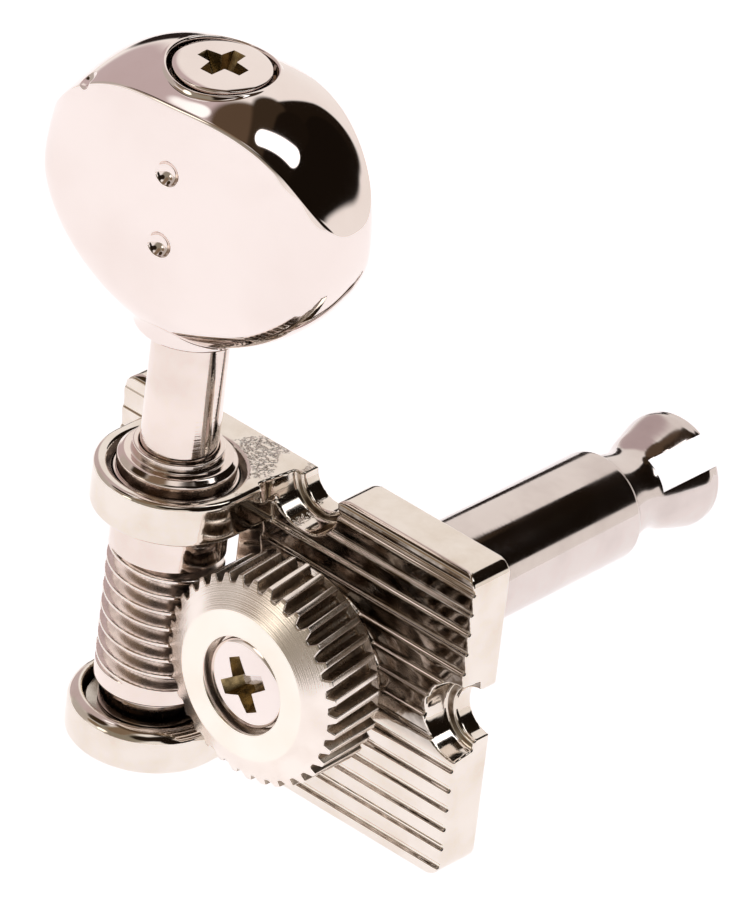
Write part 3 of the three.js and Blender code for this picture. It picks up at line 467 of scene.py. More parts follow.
def eased(profile: Profile, ease: float, loop: bool = False) -> Profile:
    """Rounds the sharp corners of a turned profile, and keeps the flats beside them flat.

    Args:
        profile: (radius, place) corners.
        ease: how far from the corner the rounding starts.
        loop: True where the last corner joins the first.

    Returns:
        The profile with a short curve and two support points at each corner.
    """
    straight, side_share, support = math.radians(20), 0.3, 1.4
    out: Profile = []
    count = len(profile)
    for i, corner in enumerate(profile):
        here = Vector(corner)
        before = Vector(profile[i - 1]) - here
        after = Vector(profile[(i + 1) % count]) - here
        if ((not loop and i in (0, count - 1)) or min(before.length, after.length) < 1e-6
                or math.pi - before.angle(after) < straight):
            out.append(corner)
            continue
        cut = min(ease, side_share * before.length, side_share * after.length)
        start = here + before.normalized() * cut
        end = here + after.normalized() * cut
        out.append(tuple(here + before.normalized() * support * cut))
        out += curve_between(start, here, end, (0.0, 0.25, 0.5, 0.75, 1.0))
        out.append(tuple(here + after.normalized() * support * cut))
    return out


def curve_between(start: Vector, corner: Vector, end: Vector, shares: tuple[float, ...]) -> Profile:
    """Returns points on the curve that rounds a corner off, at shares of its way."""
    return [tuple(start * (1 - t) ** 2 + corner * 2 * t * (1 - t) + end * t ** 2) for t in shares]


def skin(rows: list[list[int]], loop: bool = False) -> list[Face]:
    """Returns the faces between rings of points, given by their numbers.

    Args:
        rows: the rings in their order; a ring of one point is a pole.
        loop: True where the last ring joins the first.

    Returns:
        The faces.
    """
    faces: list[Face] = []
    for low, high in zip(rows, rows[1:] + rows[:1] if loop else rows[1:]):
        count = max(len(low), len(high))
        for k in range(count):
            n = (k + 1) % count
            if len(low) == 1:
                faces.append((low[0], high[n], high[k]))
            elif len(high) == 1:
                faces.append((low[k], low[n], high[0]))
            else:
                faces.append((low[k], low[n], high[n], high[k]))
    return faces


def rows_of(count: int, length: int) -> list[list[int]]:
    """Returns the numbers of points that follow each other in rings of one length."""
    return [list(range(row * length, (row + 1) * length)) for row in range(count)]


def turned_mesh(profile: Profile, axis: Axis, steps: int, centre: Corner = (0.0, 0.0),
                loop: bool = False) -> tuple[list[Point], list[Face]]:
    """Turns a profile about an axis.

    Args:
        profile: (radius, place along the axis); a radius of 0 makes a pole.
        axis: the axis to turn about.
        steps: points round a full turn.
        centre: (x, y) of an axis along Z, or (x, z) of one along Y.
        loop: True where the profile closes on itself, as a ring's does.

    Returns:
        The points and the faces.
    """
    points: list[Point] = []
    rows: list[list[int]] = []
    for radius, place in profile:
        rows.append([])
        for k in range(1 if radius < 1e-9 else steps):
            angle = 2 * math.pi * k / steps
            one, two = centre[0] + radius * math.cos(angle), centre[1] + radius * math.sin(angle)
            rows[-1].append(len(points))
            points.append((one, two, place) if axis is Axis.Z else (one, place, two))
    return points, skin(rows, loop)


def turned(name: str, profile: Profile, axis: Axis, steps: int = 160, centre: Corner = (0.0, 0.0),
           loop: bool = False, scale: float = MM) -> Object:
    """Makes an object from a turned profile; the arguments are those of turned_mesh and make_object."""
    points, faces = turned_mesh(profile, axis, steps, centre, loop)
    return make_object(name, points, faces, scale)


def prism(name: str, outline: list[Corner], low: float, high: float, along: Axis) -> Object:
    """Makes a straight solid in millimetres from a flat outline.

    Args:
        name: the object's name.
        outline: corners in (x, z) for a prism along Y, in (y, z) along X, in (x, y) along Z.
        low: where the prism starts.
        high: where it ends.
        along: the axis that it runs along.

    Returns:
        The solid.
    """
    place = {Axis.X: lambda a, b, c: (c, a, b), Axis.Y: lambda a, b, c: (a, c, b),
             Axis.Z: lambda a, b, c: (a, b, c)}[along]
    points = [place(a, b, end) for end in (low, high) for a, b in outline]
    rows = rows_of(2, len(outline))
    return make_object(name, points, [tuple(rows[0]), tuple(reversed(rows[1])), *skin(rows)], 1.0)


def arc(centre: Corner, radius: float, start: float, end: float, steps: int = 12) -> list[Corner]:
    """Returns points on an arc, from one angle to another in degrees."""
    angles = [math.radians(start + (end - start) * k / steps) for k in range(steps + 1)]
    return [(centre[0] + radius * math.cos(a), centre[1] + radius * math.sin(a)) for a in angles]


def round_rectangle(left: float, right: float, low: float, high: float,
                    radii: tuple[float, float, float, float]) -> list[Corner]:
    """Returns a rectangle's outline with round corners, counterclockwise.

    Args:
        left: the left edge.
        right: the right edge.
        low: the lower edge.
        high: the upper edge.
        radii: corner radii, lower left first and on to lower right, upper right and upper left.

    Returns:
        The outline.
    """
    a, b, c, d = radii
    return (arc((left + a, low + a), a, 180, 270) + arc((right - b, low + b), b, 270, 360)
            + arc((right - c, high - c), c, 0, 90) + arc((left + d, high - d), d, 90, 180))


def halved(low: float, high: float, rounds: int, beyond: Callable[[float], bool]) -> tuple[float, float]:
    """Closes in on the value where a test turns true.

    Args:
        low: a value for which the test is false.
        high: a value for which it is true.
        rounds: how many times the range is halved.
        beyond: the test.

    Returns:
        The lower and upper limit that are left.
    """
    for _ in range(rounds):
        middle = (low + high) / 2
        if beyond(middle):
            high = middle
        else:
            low = middle
    return low, high


def eased_step(value: float) -> float:
    """Returns a value held between 0 and 1, with a soft start and end."""
    share = min(1.0, max(0.0, value))
    return share * share * (3 - 2 * share)


@dataclass(frozen=True)
class BaseCasting:
    """The ridged plate with its two lugs, cast in one piece, in millimetres.

    Heights are along Z; depths are along Y, where the plate's back is at 0 and its front below it.
    """

    thickness: float = 2.15
    ridge_tip: float = 2.9
    ridge_foot: float = 2.64
    ridge_pitch: float = 1.245
    ridge_count: int = 15
    first_ledge: float = 8.52
    top_rounding: float = 0.55
    half_height: float = 9.63
    left: float = -15.75
    right: float = 10.25
    corners: tuple[float, float, float, float] = (1.2, 1.1, 0.9, 1.2)
    ridges_from: float = -4.77
    tab_width: float = 3.2
    tab_ridge_tip: float = 2.45
    tab_ridge_foot: float = 2.31
    step_to: float = -2.0
    step_height: float = 8.62
    boss_radius: float = 4.4
    boss_depth: float = -2.95
    worm_x: float = WORM_CENTRE[0]
    worm_y: float = WORM_CENTRE[1]
    lug_radius: float = 4.5
    lug_fillet: float = 0.8
    upper_lug: Corner = (6.05, 8.62)
    upper_lug_rounds: Corner = (0.2, 0.35)
    lower_lug: Corner = (-8.58, -5.95)
    lower_lug_rounds: Corner = (0.35, 0.8)
    cup_radius: float = 3.78
    cup_heights: tuple[Corner, Corner] = ((-7.2, -6.02), (6.3, 8.56))
    window_sides: Corner = (-2.25, 1.75)
    window_heights: Corner = (-5.1, 4.9)
    window_corner: float = 0.8
    right_notch: Corner = (10.25, 0.3)
    left_notch: Corner = (-15.75, 0.3)
    top_notch: Corner = (-2.0, 8.73)
    notch_radius: float = 1.6
    front: float = -5.0
    behind: float = 1.0
    voxel: float = 0.075
    kept_share: float = 0.4

    def build(self) -> None:
        """Builds the casting, rounds its edges as plating does, and hands it over."""
        body = self.plate()
        lug_left = self.worm_x - self.lug_radius
        step = [(lug_left, self.step_height), (self.step_to, self.step_height), (self.step_to, 11.0),
                (lug_left, 11.0)]
        for outline in (step, self.notch_mouth()):
            join(body, prism("edge", outline, self.front, self.behind, Axis.Y), Join.CUT)
        boss = [(0, self.boss_depth), (self.boss_radius, self.boss_depth), (self.boss_radius, -1.0),
                (0, -1.0)]
        for solid in (*self.lugs(), turned("boss", boss, Axis.Y, scale=1.0)):
            join(body, solid, Join.ADD)
        for solid in self.cuts():
            join(body, solid, Join.CUT)
        self.cast_over(body)
        resized(body)
        smooth(body)
        dress(body, CAST_NICKEL)
        # The lugs' cups are darkened: painted shade.
        dress_where(body, CUP_SHADE, self.in_cup)
        set_down(body, "base", "base_casting")

    def in_cup(self, place: Vector) -> bool:
        """Tells whether a place lies in one of the lugs' cups."""
        return from_worm(place) < self.cup_radius and any(
            low < place.z < high for low, high in self.cup_heights)

    def ridge_outline(self, tip: float, foot: float) -> list[Corner]:
        """Returns the plate's section in (y, z): each ridge's ledge looks up and its slope falls back.

        Args:
            tip: how far the ridges' tips are from the plate's back.
            foot: how far the bottoms between them are from the plate's back.

        Returns:
            The outline, from the back's lower edge round.
        """
        top, rounding = self.half_height, self.top_rounding
        outline = [(0.0, -top), (0.0, top), *arc((rounding - tip, top - rounding), rounding, 90, 180, 8)]
        for ridge in range(self.ridge_count):
            ledge = self.first_ledge - ridge * self.ridge_pitch
            outline += [(-foot, ledge), (-tip + 0.03, ledge + 0.02), (-tip, ledge - 0.06)]
        share = (ledge + top) / self.ridge_pitch
        outline.append((-tip + share * (tip - foot), -top))
        return outline

    def plate(self) -> Object:
        """Makes the plate with the ridges on its right part and the worn ones on its tab."""
        outline = round_rectangle(self.left, self.right, -self.half_height, self.half_height, self.corners)
        body = prism("base_casting_plated", outline, -self.thickness, 0.0, Axis.Y)
        for low, high, tip, foot in (
                (self.ridges_from, self.right + 1, self.ridge_tip, self.ridge_foot),
                (self.left - 1, self.left + self.tab_width, self.tab_ridge_tip, self.tab_ridge_foot)):
            ridges = prism("ridges", self.ridge_outline(tip, foot), low, high, Axis.X)
            join(ridges, prism("trim", outline, self.front, self.behind, Axis.Y), Join.KEEP)
            join(body, ridges, Join.ADD)
        return body

    def notch_mouth(self) -> list[Corner]:
        """Returns the outline that opens the top notch to the plate's edge."""
        left, height = self.top_notch
        return [(left, height), *arc((1.1, 8.13), 1.5, 180, 90), (1.1, 10.8), (left, 10.8)]

    def lugs(self) -> list[Object]:
        """Makes the two lugs: a round eye, its web to the plate, and the fillet beside it."""
        solids = []
        reach, side, front = self.lug_radius, self.lug_fillet, -self.thickness
        foot = self.worm_x + reach
        for (low, high), (down, up) in ((self.upper_lug, self.upper_lug_rounds),
                                        (self.lower_lug, self.lower_lug_rounds)):
            profile = [(0.0, low), *arc((reach - down, low + down), down, -90, 0, 8),
                       *arc((reach - up, high - up), up, 0, 90, 8), (0.0, high)]
            web = round_rectangle(self.worm_x - reach, foot, low, high, (down, down, up, up))
            fillet = [(foot - 0.7, -1.6), (foot + side, -1.6), (foot + side, front),
                      *arc((foot + side, front - side), side, 90, 180, 8), (foot - 0.7, front - side)]
            solids += [turned("eye", profile, Axis.Z, 192, (self.worm_x, self.worm_y), scale=1.0),
                       prism("web", web, self.worm_y, 0.0, Axis.Y),
                       prism("fillet", fillet, low + down, high - up, Axis.Z)]
        return solids

    def cuts(self) -> list[Object]:
        """Makes the solids that cut the window, the bores and the screw notches."""
        left, right = (self.worm_x + side for side in self.window_sides)
        window = round_rectangle(left, right, *self.window_heights, (self.window_corner,) * 4)
        upper = [(0, 5.0), (3.45, 5.0), (3.45, 8.17), (4.9, 9.62), (0, 9.62)]
        lower = [(0, -9.6), (2.25, -9.6), (2.25, -7.05), (3.7, -7.05), (3.7, -4.9), (0, -4.9)]
        post = [(0, -4), (2.55, -4), (2.55, -0.25), (3.325, -0.25), (3.325, 1), (0, 1)]
        solids = [prism("window", window, self.front, self.behind, Axis.Y)]
        solids += [turned("bore", bore, Axis.Z, 192, (self.worm_x, self.worm_y), scale=1.0)
                   for bore in (upper, lower)]
        solids.append(turned("post_bore", post, Axis.Y, scale=1.0))
        for place, seat in ((self.right_notch, 2.2), (self.left_notch, 2.2), (self.top_notch, 2.15)):
            notch = [(0, -3.9), (seat + 0.35, -3.9), (seat, -1.25), (self.notch_radius + 0.15, -1.25),
                     (self.notch_radius, -1.1), (self.notch_radius, 1.0), (0, 1.0)]
            solids.append(turned("notch", notch, Axis.Y, 128, place, scale=1.0))
        return solids

    def cast_over(self, body: Object) -> None:
        """Remeshes the cut solid finely, rounds every edge a little and thins the flats' faces."""
        modify(body, "REMESH", mode="VOXEL", voxel_size=self.voxel)
        modify(body, "SMOOTH", factor=0.5, iterations=7)
        modify(body, "DECIMATE", ratio=self.kept_share)


@dataclass(frozen=True)
class BearingBush:
    """The stepped collar that is pressed into the upper lug and carries the worm's stem."""

    bore: float = 2.18
    seat_radius: float = 3.4
    collar_radius: float = 3.27
    step_radius: float = 2.5
    ease: float = 0.09

    def build(self) -> None:
        """Turns the bush and hands it over."""
        profile = [(self.bore, 6.4), (self.seat_radius, 6.4), (self.seat_radius, 8.2),
                   (self.collar_radius, 8.2), (self.collar_radius, 9.05), (2.96, 9.36),
                   (self.step_radius, 9.36), (self.step_radius, 9.95), (self.bore, 9.95)]
        bush = turned("upper_bearing_bush_turned", eased(profile, self.ease, loop=True), Axis.Z,
                      centre=WORM_CENTRE[:2], loop=True)
        smooth(bush)
        dress(bush, TURNED_NICKEL_WORM)
        set_down(bush, "base", "upper_bearing_bush")


@dataclass(frozen=True)
class WormShaft:
    """The worm: a left-hand, two-start thread between plain bands, with its stem and pivot."""

    outer: float = 3.2
    root: float = 2.42
    starts: int = 2
    pitch: float = 1.005
    crest_at: float = 0.753
    crest_half: float = 0.0913
    foot_half: float = 0.375
    flank_bow: float = 0.18
    thread_low: float = -4.0
    thread_high: float = 3.6
    fade: float = 0.14
    gap_depth: float = 0.13
    stem_radius: float = 2.13
    ease: float = 0.12
    steps: int = 144
    row_gap: float = 0.035

    def thread_radius(self, z: float, angle: float) -> float:
        """Returns the thread's radius at a height and an angle from +X."""
        turn = (z - self.crest_at) / self.pitch + self.starts * angle / (2 * math.pi)
        off = abs((turn + 0.5) % 1.0 - 0.5) * self.pitch
        share = (off - self.crest_half) / (self.foot_half - self.crest_half)
        share = min(1.0, max(0.0, share))
        share -= self.flank_bow * math.sin(2 * math.pi * share) / (2 * math.pi)
        near = min(z - self.thread_low, self.thread_high - z) / self.fade
        return self.outer - (self.outer - self.root) * share * min(1.0, max(0.0, near))

    def build(self) -> None:
        """Makes the shaft as one surface from its pivot to the end of its tang."""
        low = [(0.0, -8.48), (1.95, -8.48), (2.2, -8.23), (2.2, -6.55), (2.85, -6.55),
               (2.85, -5.0), (self.outer, -5.0), (self.outer, -4.02)]
        high = [(self.outer, 3.62), (self.outer, 6.3), (self.stem_radius, 6.3),
                (self.stem_radius, 20.35), (1.45, 20.35), (1.45, 29.4), (0.0, 29.4)]
        length = self.thread_high - self.thread_low
        rows = int(length / self.row_gap)
        middle = [(self.outer, self.thread_low + length * k / rows) for k in range(rows + 1)]
        profile = eased(low, self.ease) + middle + eased(high, self.ease)
        points, faces = turned_mesh(profile, Axis.Z, self.steps)
        placed = []
        for x, y, z in points:
            if self.thread_low < z < self.thread_high:
                angle = math.atan2(y, x)
                radius = self.thread_radius(z, angle)
                x, y = radius * math.cos(angle), radius * math.sin(angle)
            placed.append((x + WORM_CENTRE[0], y + WORM_CENTRE[1], z))
        shaft = make_object("worm_shaft_cut", placed, faces)
        smooth(shaft)
        dress(shaft, TURNED_NICKEL_WORM)
        # The thread's gaps are rougher and a little greyer: the grey is painted shade.
        dress_where(shaft, THREAD_GAP, lambda place: (
            self.thread_low < place.z < self.thread_high and from_worm(place) < self.outer - self.gap_depth))
        set_down(shaft, "worm", "worm_shaft")


@dataclass(frozen=True)
class CrossScrew:
    """A domed screw with a cross recess, whose four arms narrow and draw in with the depth.

    Attributes:
        name: the piece's name.
        axis: Z where the head looks to +Z, Y where it looks to -Y; heights are along that way.
        shank: the shank's radius and the height of its end.
        seat: the height of the head's underside.
        head_radius: the head's radius.
        rim: the height where the dome starts.
        dome: how high the dome is.
        reach: length of the recess's arms from the middle.
        width: width of the arms.
        depth: depth of the recess.
        turn: the first arm's angle from +X, in degrees.
        arm_start: how far from the middle the arms part, in half widths.
        taper: how much wider an arm is at its start, and narrower at its end.
    """

    name: str
    axis: Axis
    shank: Corner
    seat: float
    head_radius: float
    rim: float
    dome: float
    reach: float
    width: float
    depth: float
    turn: float
    arm_start: float = 1.217
    taper: float = 0.12

    def build(self) -> Object:
        """Makes and dresses the screw."""
        radius, end = self.shank
        top = self.rim + self.dome
        profile = [(0.0, end), (radius, end), (radius, self.seat), (self.head_radius, self.seat),
                   (self.head_radius, self.rim - 0.05)]
        profile += [(self.head_radius * math.cos(a), self.rim + self.dome * math.sin(a)) for a in
                    (math.pi / 2 * k / 10 for k in range(1, 10))] + [(0.0, top)]
        out, sign = (Vector((0, 0, 1)), 1) if self.axis is Axis.Z else (Vector((0, -1, 0)), -1)
        profile = eased([(r, sign * height) for r, height in profile], 0.1)
        screw = turned(self.name, profile, self.axis, scale=1.0)
        cutter = self.cutter()
        if self.axis is Axis.Y:
            cutter.data.transform(Matrix.Rotation(math.pi / 2, 4, "X"))
        cutter.data.transform(Matrix.Translation(out * (top + 0.05)))
        join(screw, cutter, Join.CUT)
        ease_edges(screw, 0.045, 2, 35)
        resized(screw)
        smooth(screw, 38.0)
        dress(screw, POLISHED_NICKEL)
        # The recess's faces are darkened: painted shade over a brassy tone.
        dress_where(screw, SHADED_RECESS_BRASS, lambda place: self.in_recess(place - out * top, out))
        return screw

    def cutter(self) -> Object:
        """Makes the solid that cuts the recess, in millimetres, with its top near 0 and its tip down."""
        points: list[Point] = []
        levels = ((0.3, 1.06, 1.08), (-0.1, 1.0, 1.0), (-self.depth, 0.52, 0.6),
                  (-self.depth - 0.25, 0.2, 0.25))
        for z, long, wide in levels:
            reach, half = self.reach * long, self.width * wide / 2
            start, wider, narrower = self.arm_start * half, (1 + self.taper) * half, (1 - self.taper) * half
            for heading in (math.radians(self.turn + 90 * arm) for arm in range(4)):
                c, s = math.cos(heading), math.sin(heading)
                for away, side in ((start, -wider), (reach, -narrower), (reach, narrower), (start, wider)):
                    points.append((away * c - side * s, away * s + side * c, z))
        rows = rows_of(len(levels), len(points) // len(levels))
        return make_object("cross", points, [tuple(rows[0]), tuple(reversed(rows[-1])), *skin(rows)], 1.0)

    def in_recess(self, off: Vector, out: Vector) -> bool:
        """Tells whether a place, from the middle of the head's top, lies on the recess's faces."""
        deep = -off.dot(out)
        across = (off + out * deep).length
        return across < 1.1 * self.reach and 0.1 + 0.03 * across ** 2 < deep < self.depth + 0.4


BUTTON_SCREW = CrossScrew("button_screw_turned", Axis.Z, shank=(1.25, 24.5), seat=32.5, head_radius=2.7,
                          rim=33.25, dome=0.3, reach=1.42, width=0.9, depth=1.15, turn=-3.0)
GEAR_SCREW = CrossScrew("gear_screw_turned", Axis.Y, shank=(1.5, 1.7), seat=7.7, head_radius=2.58,
                        rim=8.28, dome=0.39, reach=1.62, width=0.92, depth=1.3, turn=31.0)


@dataclass(frozen=True)
class Button:
    """The button: a soft cushion cut by a domed roof, on a short neck, with its screw well.

    Its own axes are turned about the worm's axis by `turn`, in degrees. The mesh is finer round
    the dimples and the dent, out to `finer_dimple` and `finer_mark` times their radius.
    """

    turn: float = 7.0
    half_width: float = 9.65
    half_thickness: float = 4.17
    centre: float = 24.95
    rise: float = 15.0
    drop: float = 7.9
    outline_power: float = 1.72
    face_power: float = 4.05
    rim_power: float = 2.4
    ease: float = 0.12
    roof_top: float = 33.65
    roof_fall: Corner = (6.8, 1.3)
    neck_radius: float = 3.25
    neck_bore: float = 2.2
    bottom: float = 17.5
    well_radius: float = 2.95
    well_floor: float = 32.1
    rim_height: float = 33.42
    rim_blend: float = 0.16
    rim_share: float = 0.5
    crease_ease: float = 0.09
    steps: int = 240
    roof_rows: int = 26
    side_rows: int = 84
    dimples: tuple[Corner, ...] = ((0.0, 28.45), (0.0, 24.1))
    dimple_radius: float = 0.74
    dimple_ball: float = 0.84
    mark: Point = (-6.2, -3.05, 31.0)
    mark_radius: float = 0.55
    mark_depth: float = 0.3
    finer_dimple: float = 1.6
    finer_mark: float = 1.8

    def bend(self, value: float) -> float:
        """Returns |value| to the outline's power, made smooth where it passes zero."""
        power, e = self.outline_power, self.ease
        reach = (1 + e * e) ** (power / 2) - e ** power
        return ((value * value + e * e) ** (power / 2) - e ** power) / reach

    def roof(self, x: float, y: float) -> float:
        """Returns the roof's height over a place."""
        side, face = abs(x) / self.half_width, y / self.half_thickness
        height = self.roof_top - self.roof_fall[0] * side ** 3 - self.roof_fall[1] * face ** 2
        near = eased_step(1 - (math.hypot(x, y) - self.well_radius - 0.14) / self.rim_blend)
        return height + self.rim_share * (self.rim_height - height) * near

    def reach(self, across: Corner, slope: float) -> float:
        """Returns how far the cushion reaches from its centre along a ray.

        Args:
            across: the ray's direction seen from above.
            slope: its angle over the horizontal.

        Returns:
            The length from the centre to the cushion's surface.
        """
        flat, lift = math.cos(slope), math.sin(slope)
        height = self.drop + (self.rise - self.drop) * eased_step((lift + 0.12) / 0.3)
        x, y = across[0] * flat, across[1] * flat

        def outside(t: float) -> bool:
            ring = self.bend(t * x / self.half_width) + self.bend(t * lift / height)
            face = abs(t * y / self.half_thickness) ** self.rim_power
            return face + ring ** (self.face_power / self.outline_power) > 1

        return sum(halved(0.0, 20.0, 26, outside)) / 2

    def meridian(self, across: Corner) -> Profile:
        """Returns the section from the well's wall over the crease to the neck, as (radius, height).

        Args:
            across: the section's direction seen from above.

        Returns:
            The same number of points for every direction.
        """
        def roof_at(s: float) -> Corner:
            return s, self.roof(s * across[0], s * across[1])

        def side_at(slope: float) -> Corner:
            t = self.reach(across, slope)
            return t * math.cos(slope), self.centre + t * math.sin(slope)

        def over_roof(slope: float) -> bool:
            s, z = side_at(slope)
            return z > roof_at(s)[1]

        inner, neck, floor, bottom = self.well_radius, self.neck_radius, self.well_floor, self.bottom
        crease, _ = halved(0.0, math.pi / 2, 24, over_roof)
        _, foot = halved(-math.pi / 2 + 0.01, 0.0, 24, lambda slope: side_at(slope)[0] >= neck + 0.12)
        s_crease, _ = side_at(crease)
        _, rim = roof_at(inner + 0.12)
        profile = [(inner, floor), (inner, floor + 0.1), (inner, rim - 0.24), (inner, rim - 0.15),
                   (inner + 0.02, rim - 0.07), (inner + 0.07, rim - 0.015)]
        profile += [roof_at(inner + off) for off in (0.12, 0.15, 0.19, 0.23, 0.27, 0.31, 0.36)]
        start, stop = inner + 0.45, s_crease - self.crease_ease * 1.5
        profile += [roof_at(start + (stop - start) * k / self.roof_rows) for k in range(self.roof_rows + 1)]
        slope_step = self.crease_ease / max(2.0, s_crease)
        one, corner, other = (Vector(place) for place in (
            roof_at(s_crease - self.crease_ease), roof_at(s_crease), side_at(crease - slope_step)))
        profile += curve_between(one, corner, other, (0.0, 0.17, 0.33, 0.5, 0.67, 0.83, 1.0))
        start = crease - 1.5 * slope_step
        profile += [side_at(start + (foot - start) * k / self.side_rows) for k in range(self.side_rows + 1)]
        _, foot_height = side_at(foot)
        profile += [(neck + 0.05, foot_height - 0.06), (neck, foot_height - 0.16), (neck, bottom + 0.2),
                    (neck, bottom + 0.12), (neck - 0.035, bottom + 0.035), (neck - 0.12, bottom),
                    (2.5, bottom), (self.neck_bore + 0.05, bottom), (self.neck_bore, bottom + 0.05),
                    (self.neck_bore, bottom + 2)]
        return profile

    def build(self) -> None:
        """Builds the button, its washer and its screw, and hands them over."""
        for thing, slot, node in ((self.grip(), "nickel", "button"),
                                  (self.washer(), "washer_steel", "button_washer"),
                                  (BUTTON_SCREW.build(), "nickel", "button_screw")):
            here = Matrix.Translation(Vector(WORM_CENTRE) * MM)
            thing.data.transform(here @ Matrix.Rotation(math.radians(self.turn), 4, "Z"))
            set_down(thing, "worm", node)

    def grip(self) -> Object:
        """Makes the cushion from the well's floor to the neck's bore."""
        sections = []
        for k in range(self.steps):
            t = 2 * math.pi * k / self.steps
            way = Vector((self.half_width * math.cos(t), self.half_thickness * math.sin(t))).normalized()
            sections.append([(s * way.x, s * way.y, z) for s, z in self.meridian(tuple(way))])
        points = [(0.0, 0.0, self.well_floor)]
        points += [point for ring in zip(*sections) for point in ring]
        points.append((0.0, 0.0, self.bottom + 2))
        rings = [[number + 1 for number in row] for row in rows_of(len(sections[0]), self.steps)]
        grip = make_object("button_grip", points, skin([[0], *rings, [len(points) - 1]]))
        self.press_dimples(grip)
        smooth(grip)
        dress(grip, POLISHED_NICKEL)
        return grip

    def press_dimples(self, grip: Object) -> None:
        """Presses the small round dimples and the dent into the front, on a locally finer mesh."""
        work = bmesh.new()
        work.from_mesh(grip.data)

        def offs(place: Vector) -> tuple[list[float], float]:
            """Returns how far a place is from each dimple's axis and from the dent."""
            return ([math.hypot(place.x / MM - x, place.z / MM - z) for x, z in self.dimples],
                    (place - Vector(self.mark) * MM).length / MM)

        near = []
        for edge in work.edges:
            place = edge.verts[0].co
            dimples, dent = offs(place)
            if place.y < 0 and (min(dimples) < self.dimple_radius * self.finer_dimple
                                or dent < self.mark_radius * self.finer_mark):
                near.append(edge)
        bmesh.ops.subdivide_edges(work, edges=near, cuts=3, use_grid_fill=True)
        ball, radius = self.dimple_ball, self.dimple_radius
        for vertex in work.verts:
            if vertex.co.y > 0:
                continue
            dimples, dent = offs(vertex.co)
            off = min(dimples)
            if off < radius:
                vertex.co.y += (math.sqrt(ball ** 2 - off ** 2) - math.sqrt(ball ** 2 - radius ** 2)) * MM
            if dent < self.mark_radius:
                inwards = (Vector((0, 0, self.centre)) * MM - vertex.co).normalized()
                vertex.co += inwards * self.mark_depth * (1 - (dent / self.mark_radius) ** 2) * MM
        work.to_mesh(grip.data)
        work.free()

    def washer(self) -> Object:
        """Turns the thin washer under the screw's head."""
        profile = [(1.35, 32.15), (2.82, 32.15), (2.82, 32.45), (1.35, 32.45)]
        washer = turned("button_washer_turned", eased(profile, 0.06, loop=True), Axis.Z, loop=True)
        smooth(washer)
        dress(washer, WASHER_STEEL)
        return washer


